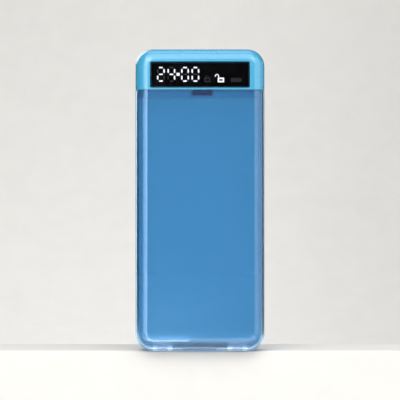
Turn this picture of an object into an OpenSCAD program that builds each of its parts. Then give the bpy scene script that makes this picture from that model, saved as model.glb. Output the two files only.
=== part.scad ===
// Timer lock box for a mobile phone: a clear case and lid under an opaque head.
// It stands on its bottom edge: front to -Y, right to +X, up is +Z.
// Origin: centre of the bottom edge, midway between the front and back faces.

/* [Case] */
// Overall width, side to side
case_w = 94; // [90:0.5:104]
// Overall height, bottom edge to top of the head
case_h = 220; // [200:1:250]
// Overall depth, front face to back face
case_d = 32; // [32:0.5:40]
// Radius of the four corners, seen from the front
corner_r = 13; // [12:0.5:16]
// Radius of the rounded front edge
front_r = 9; // [8:0.25:9.5]
// Radius of the rounded back edge
rear_r = 4; // [3.5:0.25:6]
// Wall thickness of the case, the lid and the head
wall = 2.2; // [1.8:0.1:2.4]
// Gap left along every parting line
seam = 0.3; // [0.2:0.05:0.4]

/* [Head] */
// Height of the opaque head
head_h = 30; // [29:0.5:36]
// Depth of the plug that reaches down into the case
plug_h = 6; // [6:0.25:8]
// Clearance between the plug and the walls round it
plug_gap = 0.4; // [0.3:0.05:0.6]
// Wall thickness of the plug
plug_wall = 2; // [1.6:0.1:2.2]
// Thickness of the plug's floor
plug_floor = 1.8; // [1.6:0.1:2]
// How far the plug's wall stands up inside the head
plug_rise = 2; // [1.5:0.1:2.2]
// Distance from the front face to the joint of the head's two shells
cover_joint = 22; // [21:0.25:24]

/* [Hinge] */
// Radius of the hinge barrels and knuckles
knuckle_r = 2.5; // [2.3:0.05:2.8]
// Height of the barrels above the bottom face
barrel_lift = 0.1; // [0.05:0.05:0.3]
// Radius of the steel pins
pin_r = 1.2; // [0.8:0.05:1.4]
// Length of each pin
pin_len = 13.6; // [12:0.2:15]
// Distance between the middles of the two pins
pin_spread = 54.6; // [50:0.2:58]
// Width of each outer knuckle
knuckle_w = 7.2; // [5:0.2:9]
// Width of the middle knuckle
middle_w = 24.2; // [18:0.2:28]
// Running clearance of the lid on the pins
pin_play = 0.05; // [0.03:0.01:0.09]
// Space round the barrels that lets the lid swing
swing_gap = 0.5; // [0.45:0.05:0.7]

/* [Display] */
// Distance from the side of the head to the display window
window_side = 10.8; // [10.5:0.1:13]
// Height of the display window
window_h = 19.1; // [18:0.1:19.5]
// Corner radius of the display window
window_r = 1.4; // [1:0.1:2]
// Height of the window's lower edge above the bottom of the head
window_lift = 1.3; // [1.2:0.1:2]
// Thickness of the smoked window
window_t = 1.4; // [1:0.1:1.5]
// How deep the window lies below the front face
window_sink = 0.2; // [0.1:0.05:0.3]
// Width of the ledge that carries the window
window_ledge = 1.2; // [1:0.1:1.6]
// Depth of the segment display
module_d = 5.7; // [5.4:0.1:6]
// Width of a digit, between the middles of its upright segments
digit_w = 4.6; // [4:0.1:5]
// Half height of a digit, between the middles of its level segments
digit_half = 4.87; // [4.2:0.01:5]
// Thickness of a segment
segment_t = 1.05; // [0.8:0.05:1.2]
// Length of a segment
segment_len = 3.1; // [2.6:0.1:3.2]
// How far the segments stand out of the display's face
segment_rise = 0.3; // [0.2:0.05:0.4]

/* [Lock] */
// Offset of the lock from the middle of the box, to the right
latch_x = 1.7; // [-2:0.1:3]
// Width of the slot in the plug's front wall
slot_w = 15.3; // [15:0.1:17]
// Width of the lid's catch
catch_w = 14; // [13:0.1:14.4]
// Thickness of the catch
catch_t = 2.9; // [2.4:0.1:3]
// Length of the catch, from the inside of the lid
catch_len = 14; // [13.8:0.1:14.4]
// Width of the bolt
bolt_w = 5; // [4:0.1:5.2]
// Thickness of the bolt
bolt_t = 3; // [2.6:0.1:3.2]
// Play of the bolt in its guide, on each side
bolt_play = 0.25; // [0.2:0.05:0.3]
// Play of the bolt in the catch's window, on each side
window_play = 0.5; // [0.4:0.05:0.6]
// Throw of the crank pin
crank_r = 3.2; // [3.1:0.05:3.3]
// Half of the crank's swing, in degrees
crank_half = 40; // [38:1:41]
// Radius of the crank pin
crank_pin_r = 0.9; // [0.8:0.05:1]
// Radius of the motor's output shaft
shaft_r = 1.5; // [1.2:0.1:1.6]
// Width of the gear motor, up and down
motor_h = 12; // [11.5:0.1:12.2]
// Depth of the gear motor, front to back
motor_d = 10; // [9.6:0.1:10.2]
// Length of the motor can
can_len = 15; // [12:0.5:16]
// Length of the gearbox
gearbox_len = 9; // [8:0.5:10]

/* [Electronics] */
// Thickness of both circuit boards
board_t = 1.6; // [1.2:0.1:1.6]
// Clearance between the main circuit board and the posts beside it
board_gap = 0.5; // [0.3:0.1:1.5]
// Length of the battery cell
cell_w = 34; // [28:0.5:35]
// Height of the battery cell
cell_h = 18; // [14:0.5:18.5]
// Thickness of the battery cell
cell_t = 6; // [4:0.25:6.5]
// Radius of the leads
lead_r = 0.6; // [0.4:0.05:0.7]
// Width of the charging socket's shell
socket_w = 8.94; // [8.9:0.01:9.1]
// Thickness of the charging socket's shell
socket_t = 3.2; // [3.1:0.05:3.3]
// Length of the charging socket
socket_len = 7.3; // [6.5:0.1:8]

/* [Buttons] */
// Distance between neighbouring buttons
button_pitch = 18; // [14:0.5:19]
// Length of a button, side to side
button_w = 10; // [8:0.25:11]
// Width of a button, front to back
button_d = 5; // [4:0.25:6]
// How far a button travels
button_travel = 0.5; // [0.3:0.05:0.6]
// Gap round a button in its hole
button_gap = 0.25; // [0.15:0.05:0.3]
// How deep the buttons' tops lie below the top face
button_sink = 0.15; // [0.1:0.05:0.3]
// Radius of the switch plungers
plunger_r = 1.6; // [1.4:0.05:1.8]

/* [Fasteners] */
// Radius of a screw's shank
screw_r = 0.9; // [0.8:0.05:1]
// Radius of a screw's head
screw_head_r = 1.8; // [1.6:0.05:1.9]
// Height of a screw's head
screw_head_h = 1.2; // [1:0.1:1.4]
// Radius of the posts and bosses that take screws
boss_r = 2.6; // [2.4:0.05:2.7]
// How far a screw bites into its post or boss
screw_bite = 5; // [4:0.25:6]

/* [Hidden] */
$fn = 48;
// Clearance of a part that is pressed or screwed into its seat
snug = 0.02;
// Gap between neighbouring parts that only lie close together
near = 0.1;
// Overreach of a cut beyond the face that it opens
over = 1;
// Smallest radius of a rounded edge
least_r = 0.4;

y_front = -case_d / 2;
y_back = case_d / 2;
y_split = y_front + front_r;
y_in = y_front + wall;
y_cover = y_front + cover_joint;
z_head = case_h - head_h;
z_case_top = z_head - seam;
z_plug = z_head - plug_h;
z_floor = z_plug + plug_floor;
plug_inset = wall + plug_gap;
z_top_in = case_h - wall;

// Hinge axis, and how far its barrels reach to the sides before the corners rise past it
z_hinge = knuckle_r + barrel_lift;
barrel_half = case_w / 2 - corner_r + 7.5;
// Web that joins a knuckle to the bottom wall: how far it reaches below and above the hinge axis
web_low = 1.2;
web_high = 0.6;
// Cut in the lid round a knuckle, wide enough for the web while the lid swings
slot_r = max(knuckle_r, norm([web_low + 0.5, z_hinge])) + seam;

// Display window and the parts behind it
window_w = case_w - 2 * window_side;
z_window = z_head + window_lift + window_h / 2;
window_seat = window_sink + window_t;
opening_w = window_w - 2 * window_ledge;
opening_h = window_h - 2 * window_ledge;
module_w = opening_w - 0.4;
module_h = opening_h + 0.3;
y_module = y_in + near;
y_board = y_module + module_d;
y_board_back = y_board + board_t;
z_digit = z_window + 0.3;
// Places of the digits and symbols on a window of the drawn width, spread out or drawn in with the window
drawn_w = 72.4;
spread = window_w / drawn_w;
digit_x = [-28.35, -20.75, -10.85, -3.35] * spread;
dot_x = -15.9 * spread;
dot_size = 2.2;
closed_lock_x = 5.3 * spread;
open_lock_x = 15.2 * spread;
battery_bar_x = 26 * spread;
symbol_drop = 4.1;

// Lock: the bolt stands behind the main board, over the window of the catch
y_bolt = y_board_back + 2.9;
crank_y = y_bolt + crank_r * (1 + cos(crank_half)) / 2;
bolt_travel = 2 * crank_r * sin(crank_half);
catch_z = z_floor + 0.6;
z_bolt_foot = catch_z + catch_t + 1.1;
z_guide = z_head + 0.3;
guide_h = 3.2;
z_plate = z_guide + 0.5;
plate_t = 1.7;
frame_bite = 3.6;
block_h = 8;
z_yoke = z_bolt_foot + block_h;
yoke_h = 8;
z_cross = z_yoke + yoke_h / 2 + 0.65;
z_motor = z_cross - crank_r * sin(crank_half);
yoke_d = 5.2;
yoke_w = 3;
x_yoke = latch_x - yoke_w / 2;
crank_t = 2.6;
x_crank = x_yoke - 1.3 - crank_t;
x_gearbox = x_crank - 1.3;
x_can = x_gearbox - gearbox_len;
x_motor_end = x_can - can_len;

// Button board, hung on bosses under the top wall
flange_t = 0.8;
z_flange = z_top_in - seam - flange_t;
z_board_top = z_flange - 3.9;
y_button = 0;
button_names_x = [-button_pitch, 0, button_pitch];

// Screw places, the depth of the seats for their heads in the back face, and of the holes that they bite into
cover_screw_x = case_w / 2 - 7.7;
cover_screw_z = [z_head + 6.4, case_h - 8.9];
case_screw_x = case_w / 2 - 17;
case_screw_z = z_head - plug_h / 2;
main_screw_x = cover_screw_x - 11.3;
main_screw_z = case_h - 5.7;
frame_screw_y = crank_y + 1;
frame_screw_x = [x_motor_end - 4.6, latch_x + 10.3];
screw_seat = screw_head_h + near;
screw_hole = screw_bite + 1;

// Main circuit board: its half width, and the places of its larger parts from its right edge
board_half_w = cover_screw_x - boss_r - board_gap;
x_controller = board_half_w - 17.7;
x_charger = board_half_w - 7.7;
x_coil = board_half_w - 8.2;
x_capacitor = board_half_w - 14.2;

// Charging socket, on the right edge of the main board
z_socket = z_head + 13.75;
x_socket = case_w / 2 - 0.8;

// ---- Shared shapes ----

// Quarter of a disc, for the round corner of a profile
module quarter(r) {
  intersection() {
    circle(r);
    square(r);
  }
}

// Section through a slab's rim: outwards from the corner's centre, and up from the back face
module rim_profile(rc, depth, rb, rf) {
  square([rc - rf, depth]);
  square([rc - rb, depth - rf]);
  translate([0, rb]) square([rc, depth - rf - rb]);
  translate([rc - rb, rb]) rotate(-90) quarter(rb);
  translate([rc - rf, depth - rf]) quarter(rf);
}

// Slab with round corners and round edges, lying on its back face
module slab(w, h, depth, rc, rb, rf) {
  spans = [h - 2 * rc, w - 2 * rc];
  corners = [[w / 2 - rc, h - rc], [rc - w / 2, h - rc], [rc - w / 2, rc], [w / 2 - rc, rc]];
  translate([rc - w / 2, rc, 0]) cube([w - 2 * rc, h - 2 * rc, depth]);
  for (k = [0:3])
    translate(corners[k]) rotate(90 * k) {
      rotate_extrude(angle = 90) rim_profile(rc, depth, rb, rf);
      rotate([90, 0, 0]) linear_extrude(spans[k % 2]) rim_profile(rc, depth, rb, rf);
    }
}

// The whole outer form of the box, drawn in on every side by inset; its edges stay slightly round
module form(inset) {
  translate([0, y_back - inset, inset]) rotate([90, 0, 0])
    slab(case_w - 2 * inset, case_h - 2 * inset, case_d - 2 * inset,
         corner_r - inset, max(rear_r - inset, least_r), max(front_r - inset, least_r));
}

// Block across the full width, to keep or cut a slice of the form
module slice(y0, y1, z0, z1) {
  translate([-case_w, y0, z0]) cube([2 * case_w, y1 - y0, z1 - z0]);
}

// Block given by its lowest and highest corner
module block(low, high) {
  translate(low) cube(high - low);
}

// Cylinder along X
module bar_x(r, x0, x1, y, z) {
  translate([x0, y, z]) rotate([0, 90, 0]) cylinder(r = r, h = x1 - x0);
}

// Cylinder along Y
module bar_y(r, x, y0, y1, z) {
  translate([x, y1, z]) rotate([90, 0, 0]) cylinder(r = r, h = y1 - y0);
}

// Rectangle with round corners, centred
module round_rect(w, h, r) {
  square([w - 2 * r, h], center = true);
  square([w, h - 2 * r], center = true);
  for (sx = [-1, 1], sy = [-1, 1])
    translate([sx * (w / 2 - r), sy * (h / 2 - r)]) circle(r);
}

// Plate that faces the front: a 2D shape made thick between y0 and y1
module plate_y(y0, y1) {
  translate([0, y1, 0]) rotate([90, 0, 0]) linear_extrude(y1 - y0) children();
}

// Plate that faces the side: a 2D shape, depth across and height up, between x0 and x1
module plate_x(x0, x1) {
  translate([x0, 0, 0]) rotate([90, 0, 90]) linear_extrude(x1 - x0) children();
}

// Pan-head screw along +Z: the head's underside at the origin, the shank pointing down
module screw(len) {
  translate([0, 0, -len]) cylinder(r = screw_r, h = len);
  difference() {
    cylinder(r1 = screw_head_r, r2 = screw_head_r * 0.8, h = screw_head_h);
    for (turn = [0, 90])
      rotate(turn) translate([-screw_head_r * 0.6, -0.2, screw_head_h * 0.4])
        cube([screw_head_r * 1.2, 0.4, screw_head_h]);
  }
}

// Screw driven forward from behind: its head faces +Y
module screw_y(x, y, z, len) {
  translate([x, y, z]) rotate([-90, 0, 0]) screw(len);
}

// ---- Leads: a round tube swept along a smooth curve through the route's points ----

function unit(v) = v / norm(v);

// Point on the curve between p1 and p2, with the neighbours p0 and p3
function blend(p0, p1, p2, p3, t) =
  0.5 * (2 * p1 + (p2 - p0) * t + (2 * p0 - 5 * p1 + 4 * p2 - p3) * t * t
         + (3 * p1 - p0 - 3 * p2 + p3) * t * t * t);

function curve(p, steps) = let (last = len(p) - 1) concat(
  [for (i = [0:last - 1], k = [0:steps - 1])
    blend(p[max(i - 1, 0)], p[i], p[i + 1], p[min(i + 2, last)], k / steps)],
  [p[last]]
);

function heading(p, i) = unit(p[min(i + 1, len(p) - 1)] - p[max(i - 1, 0)]);

// Side direction at each point, carried along without twist
function sides(p, i, s) =
  i == len(p) ? [] :
  let (h = heading(p, i), now = unit(s - (s * h) * h)) concat([now], sides(p, i + 1, now));

// The ends run straight for one diameter, square to what they meet
module lead(route, r) {
  corners = 8;
  last = len(route) - 1;
  start = route[0] + 2 * r * unit(route[1] - route[0]);
  stop = route[last] + 2 * r * unit(route[last - 1] - route[last]);
  inner = concat([start], [for (i = [1:last - 1]) route[i]], [stop]);
  path = concat([route[0]], curve(inner, 3), [route[last]]);
  side = sides(path, 0, [0.1, 0.3, 1]);
  rings = [for (i = [0:len(path) - 1], k = [0:corners - 1])
    let (a = 360 * k / corners, up = cross(heading(path, i), side[i]))
    path[i] + r * (cos(a) * side[i] + sin(a) * up)];
  walls = [for (i = [0:len(path) - 2], k = [0:corners - 1])
    let (a = i * corners + k, b = i * corners + (k + 1) % corners)
    [a, a + corners, b + corners, b]];
  end = (len(path) - 1) * corners;
  polyhedron(rings, concat(
    walls,
    [[for (k = [0:corners - 1]) k]],
    [[for (k = [corners - 1:-1:0]) end + k]]
  ));
}

// ---- Clear case and lid ----

module pin_bore(side, r, x0, x1) {
  if (side > 0) bar_x(r, x0, x1, y_split, z_hinge);
  else bar_x(r, -x1, -x0, y_split, z_hinge);
}

// Knuckle of the rear case with the web that joins it to the bottom wall
module knuckle(x0, x1) {
  bar_x(knuckle_r, x0, x1, y_split, z_hinge);
  block([x0, y_split, z_hinge - web_low], [x1, y_split + knuckle_r + 3, z_hinge + web_high]);
}

module rear_case() {
  color("steelblue") difference() {
    union() {
      difference() {
        intersection() {
          form(0);
          slice(y_split + seam, y_back + over, -over, z_case_top);
        }
        form(wall);
        // Room for the lid's barrels, and for its lower edge as it swings under them
        bar_x(knuckle_r + swing_gap, -barrel_half, barrel_half, y_split, z_hinge);
        block([-barrel_half, y_split, -over], [barrel_half, y_split + knuckle_r + swing_gap, z_hinge]);
      }
      knuckle(-middle_w / 2, middle_w / 2);
      for (side = [-1, 1])
        knuckle(side * pin_spread / 2 - knuckle_w / 2, side * pin_spread / 2 + knuckle_w / 2);
    }
    for (side = [-1, 1]) {
      pin_bore(side, pin_r + snug, pin_spread / 2 - knuckle_w, pin_spread / 2 + knuckle_w);
      bar_y(screw_r + near, side * case_screw_x, y_back - wall - over, y_back + over, case_screw_z);
      bar_y(screw_head_r + near, side * case_screw_x, y_back - screw_seat, y_back + over, case_screw_z);
    }
  }
}

// Cut in the lid that lets a knuckle of the rear case through
module knuckle_slot(x0, x1) {
  bar_x(slot_r, x0 - seam, x1 + seam, y_split, z_hinge);
}

module lid() {
  color("deepskyblue") difference() {
    union() {
      difference() {
        intersection() {
          form(0);
          slice(y_front - over, y_split, -over, z_case_top);
        }
        form(wall);
      }
      intersection() {
        form(0);
        bar_x(knuckle_r, -barrel_half, barrel_half, y_split, z_hinge);
      }
    }
    knuckle_slot(-middle_w / 2, middle_w / 2);
    for (side = [-1, 1]) {
      knuckle_slot(side * pin_spread / 2 - knuckle_w / 2, side * pin_spread / 2 + knuckle_w / 2);
      pin_bore(side, pin_r + pin_play, (pin_spread - pin_len) / 2 - near, barrel_half + over);
    }
  }
}

module lid_catch() {
  y_end = y_in + catch_len;
  color("midnightblue") difference() {
    block([latch_x - catch_w / 2, y_in, catch_z], [latch_x + catch_w / 2, y_end, catch_z + catch_t]);
    block([latch_x - bolt_w / 2 - window_play, y_bolt - bolt_t / 2 - window_play, catch_z - over],
          [latch_x + bolt_w / 2 + window_play, y_bolt + bolt_t / 2 + window_play, catch_z + catch_t + over]);
  }
}

module hinge_pins() {
  color("silver")
    for (side = [-1, 1])
      bar_x(pin_r, side * pin_spread / 2 - pin_len / 2, side * pin_spread / 2 + pin_len / 2, y_split, z_hinge);
}

// ---- Head ----

// Boss along Y between two depths
module post(x, y0, y1, z) {
  bar_y(boss_r, x, y0, y1, z);
}

module window_cut() {
  translate([0, 0, z_window]) {
    plate_y(y_front - over, y_front + window_seat) round_rect(window_w, window_h, window_r);
    plate_y(y_front, y_in + over) round_rect(opening_w, opening_h, window_r - 0.4);
  }
}

module socket_cut() {
  plate_x(case_w / 2 - wall - over, case_w / 2 + over)
    translate([y_board_back + socket_t / 2, z_socket]) round_rect(socket_t + 0.6, socket_w + 0.6, 1.8);
}

module button_cut(x, gap) {
  translate([x, y_button, z_top_in - over]) linear_extrude(wall + 2 * over)
    round_rect(button_w + 2 * gap, button_d + 2 * gap, button_d / 2 + gap - 0.01);
}

// Plug wall and floor that close the top end of the case
module plug() {
  difference() {
    intersection() {
      form(plug_inset);
      slice(y_front, y_back, z_plug, z_head + plug_rise);
    }
    intersection() {
      form(plug_inset + plug_wall);
      slice(y_front, y_back, z_floor, case_h);
    }
  }
}

// Flat ring that ties the plug to the head's outer wall
module plug_ledge() {
  difference() {
    intersection() {
      form(wall / 2);
      slice(y_front, y_cover, z_head, z_head + plug_rise);
    }
    form(plug_inset + plug_wall / 2);
  }
}

module head_housing() {
  color("deepskyblue") difference() {
    union() {
      difference() {
        intersection() {
          form(0);
          slice(y_front - over, y_cover, z_head, case_h + over);
        }
        form(wall);
      }
      plug();
      plug_ledge();
      for (side = [-1, 1]) {
        for (z = cover_screw_z) post(side * cover_screw_x, y_in - 0.2, y_cover, z);
        post(side * main_screw_x, y_in, y_board, main_screw_z);
        post(side * case_screw_x, y_back - plug_inset - plug_wall - screw_bite, y_back - plug_inset - 1, case_screw_z);
        translate([side * button_pitch / 2, y_button, z_board_top])
          cylinder(r = boss_r, h = z_top_in - z_board_top + 1);
      }
      for (x = frame_screw_x)
        translate([x, frame_screw_y, z_floor - 1]) cylinder(r = boss_r, h = z_plate - z_floor + 1);
    }
    window_cut();
    socket_cut();
    for (x = button_names_x) button_cut(x, button_gap);
    block([latch_x - slot_w / 2, y_front + plug_inset - over, z_floor],
          [latch_x + slot_w / 2, y_front + plug_inset + plug_wall + over, z_head]);
    for (side = [-1, 1]) {
      for (z = cover_screw_z) bar_y(screw_r + snug, side * cover_screw_x, y_cover - screw_hole, y_cover + over, z);
      bar_y(screw_r + snug, side * main_screw_x, y_board - 4, y_board + over, main_screw_z);
      bar_y(screw_r + snug, side * case_screw_x, y_back - plug_inset - screw_hole, y_back, case_screw_z);
      translate([side * button_pitch / 2, y_button, z_board_top - over]) cylinder(r = screw_r + snug, h = 4 + over);
    }
    for (x = frame_screw_x)
      translate([x, frame_screw_y, z_plate - frame_bite]) cylinder(r = screw_r + snug, h = frame_bite + over);
  }
}

module head_rear_cover() {
  color("deepskyblue") difference() {
    union() {
      difference() {
        intersection() {
          form(0);
          slice(y_cover + near, y_back + over, z_head, case_h + over);
        }
        form(wall);
      }
      for (side = [-1, 1], z = cover_screw_z) post(side * cover_screw_x, y_cover + snug, y_back - wall + 0.2, z);
    }
    for (side = [-1, 1], z = cover_screw_z) {
      bar_y(screw_r + near, side * cover_screw_x, y_cover - over, y_back + over, z);
      bar_y(screw_head_r + near, side * cover_screw_x, y_back - screw_seat, y_back + over, z);
    }
  }
}

module display_window() {
  color("black") translate([0, 0, z_window])
    plate_y(y_front + window_sink, y_front + window_seat)
      round_rect(window_w - 2 * near, window_h - 2 * near, window_r - near);
}

module display_module() {
  color("dimgray") translate([0, (y_module + y_board) / 2, z_window])
    cube([module_w, module_d, module_h], center = true);
}

// One segment, a bar with pointed ends, centred; turned upright when up is true
module segment(up) {
  half = segment_len / 2;
  tip = segment_t / 2;
  rotate(up ? 90 : 0)
    polygon([[-half, 0], [tip - half, tip], [half - tip, tip], [half, 0], [half - tip, -tip], [tip - half, -tip]]);
}

// Places of the segments of a digit: top, right upper, right lower, bottom, left lower, left upper, middle
segment_places = [
  [0, digit_half, false], [digit_w / 2, digit_half / 2, true], [digit_w / 2, -digit_half / 2, true],
  [0, -digit_half, false], [-digit_w / 2, -digit_half / 2, true], [-digit_w / 2, digit_half / 2, true],
  [0, 0, false]
];
// Which segments are lit in each of the four digits
lit_segments = [
  [1, 1, 0, 1, 1, 0, 1],
  [0, 1, 1, 0, 0, 1, 1],
  [1, 1, 1, 1, 1, 1, 0],
  [1, 1, 1, 1, 1, 1, 0]
];

// All segments whose state is lit (1) or unlit (0), as a flat drawing
module segments(state) {
  for (d = [0:3], s = [0:6])
    if (lit_segments[d][s] == state)
      translate([digit_x[d] + segment_places[s][0], segment_places[s][1]]) segment(segment_places[s][2]);
}

// Padlock symbol: a frame for its body and an arc for its shackle, which stands open at one side
module padlock(open) {
  difference() {
    round_rect(4.6, 3.4, 0.5);
    square([2.6, 1.3], center = true);
  }
  translate([open ? -2.9 : 0, open ? 2.8 : 1.8]) {
    difference() {
      circle(1.5);
      circle(0.9);
      translate([-2, -4]) square([4, 4]);
    }
    translate([0.9, open ? -1.6 : -0.2]) square([0.6, open ? 1.7 : 0.3]);
    translate([-1.5, open ? -0.4 : -0.2]) square([0.6, open ? 0.5 : 0.3]);
  }
}

module battery_bar() {
  round_rect(7.4, 3, 0.5);
  translate([3.9, 0]) square([0.8, 1.4], center = true);
}

module on_display() {
  translate([0, 0, z_digit]) plate_y(y_module - segment_rise, y_module) children();
}

module display_lit() {
  color("white") on_display() {
    segments(1);
    translate([dot_x, 0]) square(dot_size, center = true);
    translate([open_lock_x, -symbol_drop]) padlock(true);
  }
}

module display_unlit() {
  color("gray") on_display() {
    segments(0);
    translate([closed_lock_x, -symbol_drop]) padlock(false);
    translate([battery_bar_x, -symbol_drop]) battery_bar();
  }
}

// ---- Electronics ----

module main_board() {
  z_low = z_head + 1;
  z_high = case_h - 3.8;
  color("darkgreen") difference() {
    union() {
      block([-board_half_w, y_board, z_low], [board_half_w, y_board_back, z_high]);
      block([board_half_w - over, y_board, z_socket - 4.2], [case_w / 2 - wall - seam, y_board_back, z_socket + 4.2]);
    }
    for (side = [-1, 1])
      bar_y(screw_r + near, side * main_screw_x, y_board - over, y_board_back + over, main_screw_z);
  }
}

module board_chips() {
  y0 = y_board_back;
  color("black") {
    block([x_controller, y0, z_head + 9.5], [x_controller + 7, y0 + 1.2, z_head + 16.5]);
    block([x_charger, y0, z_head + 5], [x_charger + 5, y0 + 1.4, z_head + 9]);
    block([x_coil, y0, z_head + 12], [x_coil + 4, y0 + 2.4, z_head + 16]);
    bar_y(2.4, x_capacitor, y0, y0 + 5, z_head + 5.4);
  }
}

module button_board() {
  color("darkgreen") difference() {
    block([-25, y_board_back, z_board_top - board_t], [25, y_button + 6, z_board_top]);
    for (side = [-1, 1])
      translate([side * button_pitch / 2, y_button, z_board_top - board_t - over])
        cylinder(r = screw_r + near, h = board_t + 2 * over);
  }
}

module tact_switches() {
  body = 6;
  color("black")
    for (x = button_names_x)
      difference() {
        block([x - body / 2, y_button - body / 2, z_board_top], [x + body / 2, y_button + body / 2, z_board_top + 3.3]);
        translate([x, y_button, z_board_top + 0.2]) cylinder(r = plunger_r + 0.05, h = 4);
      }
}

module plunger(x) {
  z0 = z_board_top + 0.2 + button_travel + near;
  color("ivory") translate([x, y_button, z0]) cylinder(r = plunger_r, h = z_flange - z0);
}

module hour_plunger() plunger(button_names_x[0]);
module minute_plunger() plunger(button_names_x[1]);
module lock_plunger() plunger(button_names_x[2]);

// Push button: a flange under the top wall and a cap that fills the hole
module button(x) {
  color("deepskyblue") translate([x, y_button, z_flange]) {
    linear_extrude(flange_t) round_rect(button_w + 2, button_d + 2, button_d / 2);
    linear_extrude(case_h - button_sink - z_flange) round_rect(button_w, button_d, button_d / 2 - 0.01);
  }
}

module hour_button() button(button_names_x[0]);
module minute_button() button(button_names_x[1]);
module lock_button() button(button_names_x[2]);

module charging_socket() {
  y_mid = y_board_back + socket_t / 2;
  color("silver") difference() {
    plate_x(x_socket - socket_len, x_socket)
      translate([y_mid, z_socket]) round_rect(socket_t, socket_w, 1.5);
    difference() {
      plate_x(x_socket - socket_len + 0.6, x_socket + over)
        translate([y_mid, z_socket]) round_rect(socket_t - 0.6, socket_w - 0.6, 1.2);
      block([x_socket - socket_len, y_mid - 0.35, z_socket - 3.3], [x_socket - 0.8, y_mid + 0.35, z_socket + 3.3]);
    }
  }
}

cell_x0 = cover_screw_x - boss_r - 0.7 - cell_w;
cell_y1 = y_back - wall;
cell_z0 = z_head + 5.5;

module battery_cell() {
  color("silver") translate([cell_x0 + cell_w / 2, 0, cell_z0 + cell_h / 2])
    plate_y(cell_y1 - cell_t, cell_y1) round_rect(cell_w, cell_h, 1.5);
}

// Routes of the leads, from the cell or the motor to the back of the main board
cell_route = [
  [cell_x0, cell_y1 - 4.2, z_head + 18.6], [cell_x0 - 3, cell_y1 - 4.2, z_head + 18.6], [-5, 7.6, z_head + 18.8],
  [-7.6, 4.6, z_head + 19], [-8, 1, z_head + 19], [-8, y_board_back + 2, z_head + 19], [-8, y_board_back, z_head + 19]
];
cell_route_2 = [
  [cell_x0, cell_y1 - 2, z_head + 18.6], [cell_x0 - 3, cell_y1 - 2, z_head + 18.6], [-7, 9.8, z_head + 18.8],
  [-10.4, 5.8, z_head + 19], [-11, 1.6, z_head + 19], [-11, y_board_back + 2, z_head + 19], [-11, y_board_back, z_head + 19]
];
motor_route = [
  [x_motor_end, crank_y + 2.4, z_motor], [x_motor_end - 2, crank_y + 2.4, z_motor],
  [x_motor_end - 4.2, crank_y + 0.4, z_motor + 0.2], [x_motor_end - 4.6, y_board_back + 2, z_motor + 0.4],
  [x_motor_end - 4.6, y_board_back, z_motor + 0.4]
];
motor_route_2 = [
  [x_motor_end, crank_y - 1.6, z_motor + 3.2], [x_motor_end - 2, crank_y - 1.6, z_motor + 3.2],
  [x_motor_end - 3, crank_y - 3, z_motor + 4], [x_motor_end - 3.2, y_board_back + 2, z_motor + 4.2],
  [x_motor_end - 3.2, y_board_back, z_motor + 4.2]
];

module battery_leads() {
  color("firebrick") lead(cell_route, lead_r);
  color("black") lead(cell_route_2, lead_r);
}

module motor_leads() {
  color("firebrick") lead(motor_route, lead_r);
  color("black") lead(motor_route_2, lead_r);
}

// ---- Lock ----

module lock_frame() {
  stop_w = 2;
  lug = screw_head_r + 0.5;
  left = frame_screw_x[0] - lug;
  right = frame_screw_x[1] + lug;
  back = crank_y + motor_d / 2 + 1.7;
  front = y_board_back + 0.4;
  guide_top = z_guide + guide_h;
  leg = 2.6;
  color("darkslategray") difference() {
    union() {
      // Plate over the catch, with the guide for the bolt
      block([left, front, z_plate], [right, back, z_plate + plate_t]);
      block([latch_x - 5.5, front, z_guide], [latch_x + 5.5, y_bolt + 3.4, guide_top]);
      // Seats under the gear motor, with a stop behind it and a wall beside it
      block([x_can + 1, front + near, z_plate], [x_gearbox - 0.2, crank_y + 4, z_motor - motor_h / 2 - snug]);
      block([x_motor_end + 1, front + near, z_plate], [x_motor_end + 5, crank_y + 4, z_motor - motor_h / 2 - snug]);
      block([x_motor_end, crank_y + motor_d / 2 + near, z_plate], [x_gearbox - 0.2, back, z_motor - 1]);
      block([x_motor_end - stop_w, front + near, z_plate], [x_motor_end - near, crank_y + 4, z_motor - 3]);
      // Legs that stand on the plug's floor
      for (x = [left, right - leg])
        block([x, front, z_floor], [x + leg, front + leg, z_plate + 0.5]);
    }
    block([latch_x - bolt_w / 2 - bolt_play, y_bolt - bolt_t / 2 - bolt_play, z_guide - over],
          [latch_x + bolt_w / 2 + bolt_play, y_bolt + bolt_t / 2 + bolt_play, guide_top + over]);
    for (x = frame_screw_x)
      translate([x, frame_screw_y, z_plate - over]) cylinder(r = screw_r + near, h = plate_t + 2 * over);
  }
}

module lock_motor() {
  color("silver") {
    intersection() {
      bar_x(motor_h / 2, x_motor_end, x_can, crank_y, z_motor);
      block([x_motor_end - over, crank_y - motor_d / 2, z_motor - motor_h], [x_can + over, crank_y + motor_d / 2, z_motor + motor_h]);
    }
  }
}

module motor_gearbox() {
  color("goldenrod") difference() {
    block([x_can, crank_y - motor_d / 2, z_motor - motor_h / 2], [x_gearbox, crank_y + motor_d / 2, z_motor + motor_h / 2]);
    bar_x(shaft_r + 0.05, x_gearbox - 4, x_gearbox + over, crank_y, z_motor);
  }
}

module motor_shaft() {
  color("silver") bar_x(shaft_r, x_gearbox - 3.9, x_crank + crank_t + 0.2, crank_y, z_motor);
}

// Crank disc with its pin, drawn at rest with the pin high
module crank_arm() {
  pin_y = crank_y - crank_r * cos(crank_half);
  pin_z = z_motor + crank_r * sin(crank_half);
  color("white") difference() {
    union() {
      bar_x(crank_r + crank_pin_r + 0.5, x_crank, x_crank + crank_t, crank_y, z_motor);
      bar_x(crank_pin_r, x_crank + crank_t / 2, x_yoke + yoke_w + 0.2, pin_y, pin_z);
    }
    bar_x(shaft_r + snug, x_crank - over, x_crank + crank_t + over, crank_y, z_motor);
  }
}

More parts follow.
